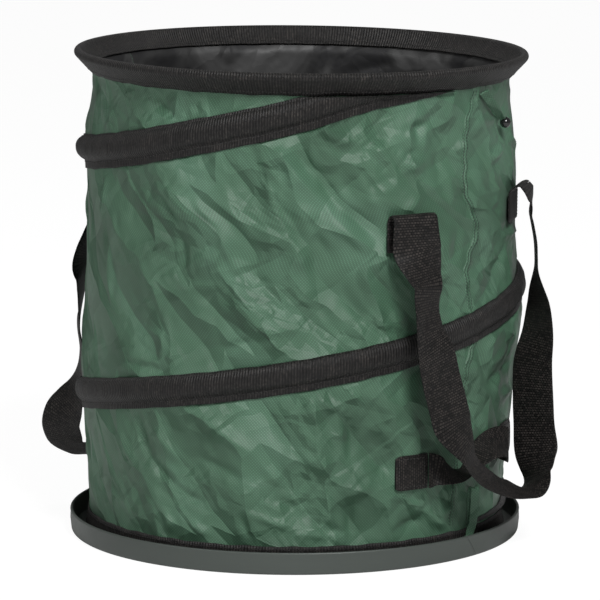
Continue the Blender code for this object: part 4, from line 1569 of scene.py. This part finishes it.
@dataclass(frozen=True)
class Ribbon:
    """A flat strap carried along a route, with softly rounded edges."""

    width: float = 0.050
    thick: float = 0.0018
    across_steps: int = 11
    bunch: float = 0.10

    def section(self) -> tuple[Array, Array]:
        """Across and up shares of the section: its face, then its back.

        Returns:
            Shares of half the width, and of half the thickness.
        """
        across = np.sin(np.linspace(-math.pi / 2.0, math.pi / 2.0, self.across_steps))
        up = np.sqrt(np.clip(1.0 - np.abs(across) ** 10, 0.08, 1.0))
        return np.concatenate([across, across[::-1]]), np.concatenate([up, -up[::-1]])

    def build(
        self, name: str, middles: Array, width_ways: Array, material: Material,
        shares: Array | None = None,
    ) -> Piece:
        """Carry the section along the route.

        Each ring is middle + width way * across * half width + thickness way * (up * half
        thickness + bow), where a strap that narrows to a share bows by what it loses.

        Args:
            name: The piece's name.
            middles: Middle of the strap at each station.
            width_ways: Way of its width there, squared to the route.
            material: The webbing or cloth.
            shares: Share of its width at each station, where it is bunched.

        Returns:
            The strap.
        """
        route = unit(np.gradient(middles, axis=0))
        width_way = unit(width_ways - route * (width_ways * route).sum(-1, keepdims=True))
        thick_way = unit(np.cross(route, width_way))
        across, up = self.section()
        share = np.ones(len(middles)) if shares is None else shares
        bow = (1.0 - share)[:, None] * self.bunch * self.width * (across**2 - 0.4)[None, :]
        rings = (
            middles[:, None]
            + width_way[:, None] * (share[:, None] * across * self.width / 2.0)[..., None]
            + thick_way[:, None] * (up * self.thick / 2.0 + bow)[..., None]
        )
        level = across * self.width / 2.0
        around = np.concatenate([level, level[:1]])
        return skin(name, rings, run_length(middles), around, (material,))


@dataclass(frozen=True)
class Route:
    """Places along a strap, and how it lies there.

    Each row holds the angle from the side's middle in degrees, the radius and the height
    in millimetres, the way of the strap's width (along the wall, outwards, up), and the
    share of its full width that it keeps.
    """

    rows: tuple
    steps: int = 6

    def run(self, side: Side, stance: Stance) -> tuple[Array, Array, Array]:
        """The smooth run through the rows.

        Args:
            side: The side of the bag.
            stance: How the bag stands.

        Returns:
            Middles, width ways and width shares.
        """
        rows = smooth_rows(self.rows, self.steps)
        angle = np.radians(rows[:, 0] + side.value)
        middles = stance.settle(polar(angle, rows[:, 1] / 1000.0, rows[:, 2] / 1000.0))
        outward, along = along_wall(angle)
        ways = along * rows[:, 3:4] + outward * rows[:, 4:5] + UP * rows[:, 5:6]
        return middles, ways, rows[:, 6]


def along_wall(angles: Array) -> tuple[Array, Array]:
    """Ways at some places round the bag.

    Args:
        angles: Angles about the axis.

    Returns:
        The outward way and the way along the wall.
    """
    zero = np.zeros(angles.shape)
    outward = np.stack([np.cos(angles), np.sin(angles), zero], -1)
    along = np.stack([-np.sin(angles), np.cos(angles), zero], -1)
    return outward, along


@dataclass
class CarryHandle(OnWall):
    """A long handle of webbing: two sewn ends folded over, and the loop that hangs."""

    route: Route
    ends: tuple[float, float]
    ribbon: Ribbon = Ribbon()
    patch: float = 0.036
    turn_down: float = 0.0070
    proud: float = 0.0003
    leave: float = 0.36
    climb: float = 0.6
    flat_steps: int = 9
    over_steps: int = 12
    stitch_inset: float = 0.004

    def build_loop(self) -> Piece:
        """The hanging loop, on the body that swings it.

        Returns:
            The loop.
        """
        middles, ways, shares = self.route.run(self.side, self.wall.stance)
        name = f"carry_strap_{self.side.label}"
        piece = self.ribbon.build(name, middles, ways, self.finishes.webbing, shares)
        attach(piece, f"carry_swing_{self.side.label}")
        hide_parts(f"carry_handle_{self.side.label}")
        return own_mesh(piece)

    def build_end(self, row: tuple, beyond: tuple, angle: float, word: str) -> list[Piece]:
        """One sewn end: up the wall, then over to where the loop begins.

        The run over is a cubic in radius and height, which starts straight up the wall and
        ends the way that the loop leaves.

        Args:
            row: The loop's row at this end.
            beyond: The loop's next row, which gives the way that it leaves.
            angle: Angle of the sewn patch from the side's middle, in degrees.
            word: Front or back.

        Returns:
            The strap end and its box of stitches.
        """
        base = math.radians(self.side.value)
        start = base + math.radians(angle)
        top = row[2] / 1000.0
        low, bend = top - self.patch, top - self.turn_down
        reach = float(self.wall.radius(np.array(start), np.array(low + 0.02)))
        reach += self.proud + self.ribbon.thick / 2.0
        corner, end = np.array([reach, bend]), np.array([row[1], row[2]]) / 1000.0
        leave = end - np.array([beyond[1], beyond[2]]) / 1000.0
        leave *= self.leave * np.linalg.norm(end - corner) / np.linalg.norm(leave)
        climb = corner + np.array([0.0, self.climb * self.turn_down])
        t = np.linspace(0.0, 1.0, self.over_steps)[1:]
        curve = (
            np.outer((1 - t) ** 3, corner) + np.outer(3 * t * (1 - t) ** 2, climb)
            + np.outer(3 * t**2 * (1 - t), end + leave) + np.outer(t**3, end)
        )
        flat = self.flat_steps
        radius = np.concatenate([np.full(flat, reach), curve[:, 0]])
        level = np.concatenate([np.linspace(low, bend, flat), curve[:, 1]])
        share = np.concatenate([np.zeros(flat), t * t * (3.0 - 2.0 * t)])
        angles = start + (base + math.radians(row[0]) - start) * share
        middles = self.place(angles, radius, level)
        outward, along = along_wall(angles)
        final = along[-1] * row[3] + outward[-1] * row[4] + UP * row[5]
        ways = along * (1.0 - share[:, None]) + final * share[:, None]
        name = f"carry_strap_end_{self.side.label}_{word}"
        piece = self.ribbon.build(name, middles, ways, self.finishes.webbing)
        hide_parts(f"carry_sewn_end_{self.side.label}_{word}")

        half = self.ribbon.width / 2.0 - self.stitch_inset
        low, high = low + 0.003, bend - 0.001
        corners = [(-half, low), (half, low), (half, high), (-half, high), (-half, low),
                   (half, high)]
        path = np.concatenate([np.linspace(a, b, 30) for a, b in zip(corners, corners[1:])])
        middle = polar(np.full(len(path), start), reach + self.ribbon.thick / 2.0, path[:, 1])
        rows = self.wall.stance.settle(middle + along[:1] * path[:, :1])
        thread = Stitching(pitch=0.0034).build(
            f"carry_end_stitches_{self.side.label}_{word}",
            [(rows, np.broadcast_to(outward[:1], rows.shape))], self.finishes.black_thread,
        )
        for made in (piece, thread):
            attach(made, f"carry_anchor_{self.side.label}")
        return [piece, thread]

    def build(self) -> list[Piece]:
        """The loop and its ends; the right side's first end is the front one.

        Returns:
            The loop, then each end and its stitches.
        """
        words = ("front", "back") if self.side is Side.RIGHT else ("back", "front")
        rows = self.route.rows
        return [
            self.build_loop(),
            *self.build_end(rows[0], rows[1], self.ends[0], words[0]),
            *self.build_end(rows[-1], rows[-2], self.ends[1], words[1]),
        ]


@dataclass
class DumpHandle(OnWall):
    """A short handle of narrower webbing, sewn on level near the foot of the wall."""

    heights: tuple[float, float]
    route: Route
    ribbon: Ribbon = Ribbon(width=0.035)
    fold: float = 17.3
    end: float = 27.3
    proud: float = 0.0004
    end_steps: int = 12
    corner_shares: tuple[float, float] = (0.86, 0.97)
    stitch_half: float = 0.014
    # Start and stop along the end, and low and high over it, of each row of its box.
    stitch_box: tuple = (
        (0.1, 0.1, -1, 1), (0.9, 0.9, -1, 1), (0.1, 0.9, -1, -1), (0.1, 0.9, 1, 1)
    )

    def build_end(self, sign: float, height: float, word: str) -> list[Piece]:
        """One sewn end, level on the wall and as far out as the wall's highest crease.

        Args:
            sign: Way round from the side's middle.
            height: Height of its middle.
            word: Front or back.

        Returns:
            The strap end and its box of stitches.
        """
        turn = np.radians(
            self.side.value + sign * np.linspace(self.end, self.fold, self.end_steps)
        )
        half = self.ribbon.width / 2.0
        levels = height + np.linspace(-half, half, 5)
        wall = self.wall.radius(turn[:, None], levels[None, :]).max(1)
        reach = wall + self.proud + self.ribbon.thick / 2.0
        middles = self.place(turn, reach, height)
        shares = np.array([*self.corner_shares] + [1.0] * (self.end_steps - 2))
        piece = self.ribbon.build(
            f"dump_strap_end_{self.side.label}_{word}", middles,
            np.broadcast_to(UP, middles.shape), self.finishes.webbing, shares,
        )
        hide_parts(f"dump_sewn_end_{self.side.label}_{word}")
        rows = []
        stations = np.arange(self.end_steps)
        for start, stop, low, high in self.stitch_box:
            at = np.linspace(start, stop, 20) * stations[-1]
            angle = np.interp(at, stations, turn)
            out = np.interp(at, stations, reach) + self.ribbon.thick / 2.0
            level = height + self.stitch_half * np.linspace(low, high, 20)
            points = self.place(angle, out, level)
            rows.append((points, polar(angle, 1.0, 0.0)))
        thread = Stitching(pitch=0.0034).build(
            f"dump_end_stitches_{self.side.label}_{word}", rows, self.finishes.black_thread
        )
        return [piece, thread]

    def build(self) -> list[Piece]:
        """The free strap, its two sewn ends and their stitches.

        Returns:
            The pieces.
        """
        middles, ways, shares = self.route.run(self.side, self.wall.stance)
        strap = self.ribbon.build(
            f"dump_strap_{self.side.label}", middles, ways, self.finishes.webbing, shares
        )
        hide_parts(f"dump_handle_{self.side.label}")
        words = ("front", "back") if self.side is Side.RIGHT else ("back", "front")
        pieces = [strap]
        for sign, height, word in zip((-1.0, 1.0), self.heights, words):
            pieces += self.build_end(sign, height, word)
        for piece in pieces:
            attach(piece, Body.BASE.value)
            fold_down(piece)
        return pieces


# Fastenings


@dataclass
class Toggle(OnWall):
    """A ball on a folded green tab under the hem."""

    route: Route
    ball_place: tuple[float, float, float] = (12.5, 221.4, 428.8)
    ball_radius: float = 0.0055
    waist: float = 0.06

    def build_tab(self) -> Piece:
        """The tab, tapering to the ball.

        Returns:
            The tab.
        """
        middles, ways, shares = self.route.run(self.side, self.wall.stance)
        tab = Ribbon(width=0.010, thick=0.0024, across_steps=9).build(
            f"toggle_tab_{self.side.label}", middles, ways, self.finishes.cloth, shares
        )
        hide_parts(f"toggle_strip_{self.side.label}")
        return tab

    def build_ball(self) -> Piece:
        """The ball: half a circle turned about the upright, with a slight waist near the top.

        Returns:
            The ball.
        """
        angle, radius, height = self.ball_place
        turned = math.radians(angle + self.side.value)
        centre = self.place(turned, radius / 1000.0, height / 1000.0)
        tilt = np.linspace(0.0, math.pi, 17)
        turn = np.linspace(0.0, FULL_TURN, 33)[:-1]
        ring = self.ball_radius * (1.0 - self.waist * np.exp(-(((tilt - 0.25) / 0.2) ** 2)))
        points = polar(turn[:, None], ring * np.sin(tilt), self.ball_radius * np.cos(tilt))
        ball = skin(
            f"toggle_ball_{self.side.label}", points + centre, np.linspace(0.0, 0.035, 33),
            np.linspace(0.0, 0.0175, 17), (self.finishes.ball,), closed_path=True, open_ring=True,
        )
        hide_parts(f"toggle_bead_{self.side.label}")
        return ball

    def build(self) -> list[Piece]:
        """The tab and the ball.

        Returns:
            The two pieces.
        """
        pieces = [self.build_tab(), self.build_ball()]
        for piece in pieces:
            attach(piece, f"toggle_{self.side.label}")
        return pieces


@dataclass
class ClosureTab(OnWall):
    """A green tab folded into an upright loop above the binding."""

    # Rows of the band's path: out from the wall and up, in millimetres.
    outline: tuple = (
        (0.4, 0.0), (0.5, 6.0), (0.7, 14.0), (1.1, 24.0), (1.7, 35.0), (2.6, 44.0), (4.0, 48.9),
        (5.6, 49.7), (6.8, 47.5), (6.5, 42.0), (5.3, 32.0), (4.0, 22.0), (2.6, 12.0), (1.8, 5.0),
        (1.4, 0.3),
    )
    # Pairs of a height in millimetres and the band's angle there in degrees.
    sway: tuple = ((0.0, -0.3), (12.0, 1.2), (31.0, 1.0), (50.0, 0.3))
    foot: float = 0.0160
    foot_radius: float = 0.2125
    half_width: float = 0.0046
    half_thick: float = 0.0005
    twist: tuple[float, float] = (20.0, 32.0)

    def build(self) -> list[Piece]:
        """The tab as a closed band in the upright plane, turning as it rises.

        Returns:
            The tab.
        """
        rows = np.array(self.outline) / 1000.0
        closed = smooth_rows(np.concatenate([rows[-2:], rows, rows[:2]]), 5)[10:-11]
        up = closed[:, 1]
        sway = np.array(self.sway)
        angle = np.radians(self.side.value + np.interp(up * 1000.0, sway[:, 0], sway[:, 1]))
        middles = self.place(angle, self.foot_radius + closed[:, 0], self.foot + up)
        outward, along = along_wall(angle)
        route = unit(np.roll(middles, -1, 0) - np.roll(middles, 1, 0))
        twist = np.radians(self.twist[0] + self.twist[1] * up / 0.05)
        way = along * np.cos(twist)[:, None] + outward * np.sin(twist)[:, None]
        way = unit(way - route * (way * route).sum(-1, keepdims=True))
        thick = unit(np.cross(route, way))
        across, rise = Ribbon(across_steps=7).section()
        level = across * self.half_width
        rings = (
            middles[:, None] + way[:, None] * level[None, :, None]
            + thick[:, None] * (rise * self.half_thick)[None, :, None]
        )
        piece = skin(
            f"closure_tab_{self.side.label}", rings,
            run_length(np.concatenate([middles, middles[:1]])),
            np.concatenate([level, level[:1]]), (self.finishes.cloth,), closed_path=True,
        )
        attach(piece, f"closure_{self.side.label}")
        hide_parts(f"closure_loop_{self.side.label}")
        return [piece]


# Tray and floor


@dataclass
class Tray:
    """The shallow plastic tray and the bag's round floor inside it."""

    finishes: Finishes
    radius: float = 0.230
    height: float = 0.0225
    wall: float = 0.0030
    floor: float = 0.0025
    draft: float = 0.0010
    cloth_low: float = 0.0028
    cloth_thick: float = 0.0012
    cloth_radius: float = 0.2050
    ripple: float = 0.0005
    crisp: float = 35.0
    steps: int = 288

    def angles(self) -> Array:
        """Angles of the stations round the axis."""
        return np.linspace(-math.pi, math.pi, self.steps, endpoint=False)

    def build_tray(self) -> Piece:
        """The tray: its half section, with a round foot and a beaded lip, turned round.

        Returns:
            The tray.
        """
        radius, top, lip = self.radius, self.height, self.wall / 2.0
        foot, low = radius - self.draft, 0.003
        turn, bead = np.linspace(-math.pi / 2.0, 0.0, 8), np.linspace(0.0, math.pi, 9)[1:-1]
        outline = np.concatenate([
            [[0.0, 0.0], [0.10, 0.0], [0.20, 0.0], [foot - 0.0035, 0.0]],
            np.array([foot - low, low]) + low * np.stack([np.cos(turn), np.sin(turn)], 1),
            [[foot + 0.0010, 0.0120], [radius - 0.0003, top - 0.0028], [radius, top - lip]],
            np.array([radius - lip, top - lip]) + lip * np.stack([np.cos(bead), np.sin(bead)], 1),
            [[radius - self.wall, top - lip], [foot - self.wall, 0.0060],
             [foot - self.wall - 0.001, 0.0035], [foot - self.wall - 0.003, self.floor],
             [0.18, self.floor], [0.09, self.floor], [0.0, self.floor]],
        ])
        rings = polar(self.angles()[:, None], outline[None, :, 0], outline[None, :, 1])
        along = np.linspace(0.0, FULL_TURN * radius, self.steps + 1)
        tray = skin(
            "moulded_tray", rings, along, run_length(outline), (self.finishes.tray,),
            closed_path=True, open_ring=True,
        )
        tray.data.set_sharp_from_angle(angle=math.radians(self.crisp))
        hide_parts("base_tray")
        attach(tray, Body.BASE.value)
        return tray

    def build_floor(self) -> Piece:
        """The floor cloth: a flat disc whose top has soft ripples that fade at its edge.

        Returns:
            The floor cloth.
        """
        reach = self.cloth_radius
        share = np.linspace(0.0, 1.0, 40)
        radius = np.concatenate([share * reach, share[::-1] * reach])
        lift = np.concatenate([np.zeros(40), np.full(40, self.cloth_thick)])
        angle, radius = self.angles()[:, None], radius[None, :]
        x, y = radius * np.cos(angle), radius * np.sin(angle)
        ripple = np.sin(x * 61.0 + 2.0 * np.sin(y * 37.0)) * np.sin(y * 53.0 + np.sin(x * 29.0))
        fade = np.clip(1.0 - radius / reach, 0.0, 0.3) / 0.3
        ripple = self.ripple * (ripple + 1.0) * fade * (radius > 0.0)
        height = self.cloth_low + lift[None, :] + np.where(lift[None, :] > 0.0, ripple, 0.0)
        floor = skin(
            "floor_cloth", np.stack([x, y, height], -1),
            np.linspace(0.0, FULL_TURN * self.radius, self.steps + 1),
            run_length(np.stack([radius[0], lift], 1)), (self.finishes.lining,),
            closed_path=True, open_ring=True,
        )
        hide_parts("floor_panel")
        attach(floor, Body.BASE.value)
        return floor

    def dress(self, node: str, material: Material) -> None:
        """Give a solid of the frame that stays its finish.

        Args:
            node: The solid's name.
            material: Its finish.
        """
        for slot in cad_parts[node].material_slots:
            slot.link = "OBJECT"
            slot.material = material

    def build(self) -> list[Piece]:
        """The tray and the floor cloth; the steel pieces under the cloth stay the frame's.

        Returns:
            The tray and the floor cloth.
        """
        self.dress("bottom_hoop", self.finishes.wire)
        for name in ("bottom_ferrule", *(f"tray_rivet_{n}" for n in range(1, 5))):
            self.dress(name, self.finishes.zinc)
        return [self.build_tray(), self.build_floor()]


# Studio


@dataclass
class Studio:
    """Camera, lamps, floor and background."""

    distance: float = 4.44247
    height: float = 0.97379
    azimuth: float = 35.5
    yaw: float = 0.07
    pitch: float = 9.447
    lens: float = 265.351
    sensor: float = 36.0
    ambient: float = 0.20
    # Each lamp: name, place from the camera's side, size in metres and power in watts.
    lamps: tuple = (
        ("key_softbox", (0.9, 2.4, 2.6), 0.9, 97.0),
        ("fill_softbox", (-2.5, 1.7, 1.8), 1.1, 20.0),
        ("top_softbox", (-0.2, -0.4, 2.6), 1.2, 6.0),
    )
    lamps_aim: tuple[float, float, float] = (0.0, 0.0, 0.26)
    floor_half: float = 12.0
    floor_level: float = -0.0004
    floor_white: float = 1.14
    floor_share: float = 0.82

    def from_camera(self, right: float, towards: float, up: float) -> Vector:
        """A place measured from the bag in the picture's own directions.

        Args:
            right: Distance to the right in the picture.
            towards: Distance towards the camera.
            up: Height.

        Returns:
            The place.
        """
        a = math.radians(self.azimuth)
        return Vector((
            right * math.cos(a) + towards * math.sin(a),
            right * math.sin(a) - towards * math.cos(a),
            up,
        ))

    def build_camera(self) -> None:
        """The camera, at the photo's place and with its lens."""
        data = bpy.data.cameras.new("camera")
        data.lens = self.lens
        data.sensor_width = self.sensor
        camera = bpy.data.objects.new("camera", data)
        camera.location = self.from_camera(0.0, self.distance, self.height)
        camera.rotation_euler = (
            math.radians(90.0 - self.pitch), 0.0, math.radians(self.azimuth - self.yaw)
        )
        bpy.context.scene.collection.objects.link(camera)
        bpy.context.scene.camera = camera

    def build_lamps(self) -> None:
        """The softboxes, each turned towards the bag's middle."""
        for name, place, size, power in self.lamps:
            data = bpy.data.lights.new(name, "AREA")
            data.size = size
            data.energy = power
            lamp = bpy.data.objects.new(name, data)
            lamp.location = self.from_camera(*place)
            way = Vector(self.lamps_aim) - lamp.location
            lamp.rotation_euler = way.to_track_quat("-Z", "Y").to_euler()
            bpy.context.scene.collection.objects.link(lamp)

    def build_world(self) -> None:
        """A white background that lights the bag only at the ambient strength."""
        world = bpy.data.worlds.new("studio")
        bpy.context.scene.world = world
        world.use_nodes = True
        tree = world.node_tree
        rays = add_node(tree, "ShaderNodeLightPath").outputs["Is Camera Ray"]
        strength = add_node(
            tree, "ShaderNodeMapRange", {"Value": rays, "To Min": self.ambient, "To Max": 1.0}
        )
        background = tree.nodes["Background"]
        background.inputs["Color"].default_value = (1.0, 1.0, 1.0, 1.0)
        tree.links.new(strength.outputs["Result"], background.inputs["Strength"])

    def build_floor(self) -> None:
        """A white floor that keeps a faint shadow of the bag."""
        signs = np.array([[-1.0, -1.0], [1.0, -1.0], [1.0, 1.0], [-1.0, 1.0]])
        points = np.column_stack([signs * self.floor_half, np.full(4, self.floor_level)])
        material = bpy.data.materials.new("white_studio_floor")
        material.use_nodes = True
        tree = material.node_tree
        paint = tree.nodes["Principled BSDF"]
        paint.inputs["Base Color"].default_value = (0.82, 0.82, 0.82, 1.0)
        paint.inputs["Roughness"].default_value = 0.8
        rays = add_node(tree, "ShaderNodeLightPath").outputs["Is Camera Ray"]
        share = add_node(
            tree, "ShaderNodeMath", {0: rays, 1: self.floor_share}, operation="MULTIPLY"
        )
        white = add_node(
            tree, "ShaderNodeEmission", {"Color": (1.0,) * 4, "Strength": self.floor_white}
        )
        mixed = add_node(
            tree, "ShaderNodeMixShader",
            {0: share.outputs[0], 1: paint.outputs[0], 2: white.outputs[0]},
        )
        tree.links.new(mixed.outputs[0], tree.nodes["Material Output"].inputs["Surface"])
        floor = solid(
            "studio_floor", points, np.array([[0, 1, 2, 3]]), np.zeros((1, 4, 2)),
            np.zeros(1, int), (material,),
        )

    def build(self) -> None:
        """Set up everything that isn't the bag."""
        self.build_camera()
        self.build_lamps()
        self.build_world()
        self.build_floor()
        bpy.context.scene.view_settings.view_transform = "Standard"


# Routes of the straps, in the columns that Route gives

CARRY_RIGHT = (
    (-23.4, 221.6, 349.6, 1, 0, 0, 1), (-23.4, 225.2, 346.8, 1, 0, 0, 1),
    (-23.5, 227.4, 333.3, 1, 0.07, 0.04, 1), (-23.5, 228.8, 317.7, 0.98, 0.2, 0.1, 1),
    (-23, 231.1, 306.1, 0.99, -0.02, 0.16, 1), (-22.5, 234.9, 293.6, 0.97, -0.23, 0.11, 0.96),
    (-22, 238.7, 282.1, 0.97, -0.25, -0.01, 0.84), (-22.3, 239.2, 270.5, 0.95, -0.31, -0.05, 0.8),
    (-22.2, 239.4, 256.7, 0.92, -0.38, 0.04, 0.8), (-21.9, 240.3, 242.9, 0.94, -0.33, 0.11, 0.8),
    (-21.3, 240.9, 228.9, 0.93, -0.28, 0.24, 0.88), (-20, 242.3, 212.7, 0.95, -0.17, 0.26, 1),
    (-18.6, 242.9, 188.4, 0.97, -0.11, 0.23, 1), (-17, 245.7, 160.2, 0.97, -0.07, 0.22, 1),
    (-16.2, 248.7, 143.2, 0.95, -0.09, 0.28, 1), (-14.7, 252.7, 128.1, 0.89, -0.25, 0.37, 0.88),
    (-13.1, 255.1, 114.5, 0.8, -0.38, 0.46, 0.68), (-11.2, 253.5, 101.1, 0.62, -0.45, 0.64, 0.56),
    (-7.6, 250.9, 87.9, 0.46, -0.45, 0.76, 0.52), (-2.7, 250, 76.2, 0.34, -0.57, 0.75, 0.52),
    (2.6, 249.8, 66.7, 0.22, -0.74, 0.64, 0.56), (7.5, 250.9, 61.9, 0.16, -0.86, 0.49, 0.64),
    (12, 252.5, 58.3, 0.14, -0.96, 0.26, 0.76), (15.3, 254.7, 59.1, 0.26, -0.91, -0.31, 0.88),
    (17.6, 256.1, 67, 0.58, -0.7, -0.42, 1), (18.6, 254.2, 79.3, 0.47, -0.84, -0.28, 1),
    (19.7, 251.7, 94.8, 0.26, -0.95, -0.16, 1), (20.2, 248.7, 118.8, 0.37, -0.92, -0.12, 1),
    (20.8, 246.6, 142.9, 0.4, -0.92, -0.07, 1), (21.2, 245.1, 179.4, 0.47, -0.88, 0.01, 1),
    (21.9, 248.7, 208.7, 0.65, -0.76, 0, 1), (22.4, 248.7, 234.9, 0.77, -0.63, -0.09, 1),
    (22.8, 246.5, 253.9, 0.88, -0.47, -0.09, 1), (23, 245.1, 274.1, 0.97, -0.24, -0.04, 1),
    (23.1, 244.5, 288.3, 0.98, -0.21, -0.03, 1), (23.1, 243.3, 304.4, 0.97, -0.22, -0.03, 1),
    (23.1, 239.7, 322.6, 0.97, -0.22, -0.03, 1), (23.1, 237.9, 330.7, 0.98, -0.21, -0.02, 1),
    (23.1, 238.5, 339.8, 0.98, -0.19, -0.01, 1), (23.1, 238.3, 347.4, 0.99, -0.1, 0, 1),
    (22.9, 236.4, 354.8, 1, 0, 0, 1), (22.9, 232, 360.4, 1, 0, 0, 1),
)

CARRY_LEFT = (
    (-23.2, 220.8, 313, 1, 0, 0, 1), (-23.2, 229, 307, 1, 0, 0, 1),
    (-23.5, 234, 266.1, 1, 0.06, 0.01, 1), (-23.2, 236.5, 201.2, 1, 0.06, 0.05, 1),
    (-22, 236.7, 136.7, 0.99, -0.01, 0.13, 1), (-19.6, 237, 90.9, 0.92, -0.06, 0.39, 1),
    (-14.5, 240.4, 63.6, 0.54, -0.37, 0.76, 0.96), (-6.5, 242.5, 53.9, 0.1, -0.71, 0.7, 0.88),
    (2.8, 244.4, 56.6, 0.02, -0.84, 0.55, 0.8), (9.5, 246.4, 58.8, 0.13, -0.92, 0.38, 0.8),
    (14.4, 255.7, 67.9, 0.23, -0.97, 0.12, 0.88), (16.8, 256.8, 83.1, 0.2, -0.97, -0.16, 1),
    (18, 254.2, 98.6, 0.31, -0.87, -0.38, 1), (18.4, 246.5, 113.7, 0.54, -0.74, -0.39, 1),
    (18.4, 239, 130.4, 0.78, -0.6, -0.17, 1), (18, 234.6, 148.4, 0.88, -0.48, -0.01, 1),
    (17.6, 233.6, 168.2, 0.9, -0.43, 0, 1), (18.1, 235.8, 188.4, 0.9, -0.42, -0.14, 1),
    (19, 235.1, 201.6, 0.9, -0.33, -0.28, 1), (19.8, 232.2, 216, 0.94, -0.23, -0.24, 1),
    (20.5, 230.5, 229, 0.97, -0.16, -0.18, 1), (20.9, 229.3, 241.9, 0.99, -0.09, -0.14, 1),
    (21.4, 228.5, 254.7, 0.99, -0.02, -0.17, 1), (21.9, 229, 265.5, 0.99, 0.11, -0.07, 1),
    (21.4, 227, 278, 0.99, 0.05, 0.09, 1), (20.2, 224, 289, 0.99, -0.02, 0.15, 1),
    (18.2, 221.2, 299, 1, -0.02, 0.04, 1), (18.2, 219, 306.5, 1, 0, 0, 1),
)

DUMP_RIGHT = (
    (-17, 216.8, 93, 0.12, -0.08, 0.99, 1), (-15.7, 222.8, 92.8, 0.36, -0.16, 0.92, 0.91),
    (-13.5, 226.6, 89.3, 0.35, -0.38, 0.86, 0.66), (-9.8, 227.3, 85.3, 0.08, -0.77, 0.63, 0.54),
    (-6.2, 227.8, 87.2, 0.02, -0.99, 0.13, 0.57), (-3.4, 228.7, 94.7, 0.03, -0.99, 0.13, 0.71),
    (-0.5, 230.3, 103.2, -0.05, -0.97, 0.25, 0.89), (3.4, 230.7, 107.7, -0.08, -0.83, 0.56, 0.97),
    (8.2, 229.9, 107.3, 0.07, -0.51, 0.85, 1), (12.7, 228.9, 103.4, 0.1, -0.12, 0.98, 1),
    (15.6, 226.5, 99.5, 0, 0, 1, 1), (17.2, 217.5, 101, 0, 0, 1, 1),
)

TOGGLE_ROUTE = (
    (3.3, 214.7, 464, 0.35, 0.8, 0.49, 1), (4.3, 215.9, 459.2, 0.35, 0.81, 0.48, 1),
    (5.6, 217.1, 453.3, 0.29, 0.86, 0.42, 1), (7.9, 218.2, 445, 0.2, 0.91, 0.35, 0.92),
    (10.1, 219.1, 438.1, 0.22, 0.88, 0.42, 0.72), (11.7, 220, 433, 0.2, 0.88, 0.42, 0.6),
)

DUMP_LEFT = (
    (-17.1, 216.6, 64.4, 0, 0, 1, 1), (-14, 222, 64.2, 0, 0.14, 0.99, 1),
    (-8, 231, 63.4, 0, 0.21, 0.98, 1), (0, 234.5, 62.8, 0, 0.24, 0.97, 1),
    (8, 231, 63.6, 0, 0.14, 0.99, 1), (14, 222, 64.3, 0, 0.07, 1, 1),
    (17.1, 216.6, 64.4, 0, 0, 1, 1),
)


def main() -> None:
    logging.basicConfig(level=logging.INFO, format="%(message)s")
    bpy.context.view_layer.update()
    finishes = Finishes()
    Studio().build()
    wall = Wall(finishes)
    right, left = ((finishes, wall, side) for side in Side)
    for part in (
        Tray(finishes),
        wall,
        Hem(finishes),
        FootBinding(finishes),
        CoilCasing(finishes, wall),
        SideSeam(*right),
        SideSeam(*left),
        CarryHandle(*right, Route(CARRY_RIGHT), ends=(-23.6, 22.8)),
        CarryHandle(*left, Route(CARRY_LEFT), ends=(-22.5, 17.6)),
        DumpHandle(*right, heights=(0.0930, 0.1020), route=Route(DUMP_RIGHT)),
        DumpHandle(*left, heights=(0.0644, 0.0644), route=Route(DUMP_LEFT)),
        Toggle(*right, Route(TOGGLE_ROUTE)),
        Toggle(*left, Route(TOGGLE_ROUTE)),
        ClosureTab(*right),
        ClosureTab(*left),
    ):
        for piece in part.build():
            faces = len(piece.data.polygons)
            LOG.info("%s: %s, %d faces", type(part).__name__, piece.name, faces)


if __name__ == "__main__":
    main()
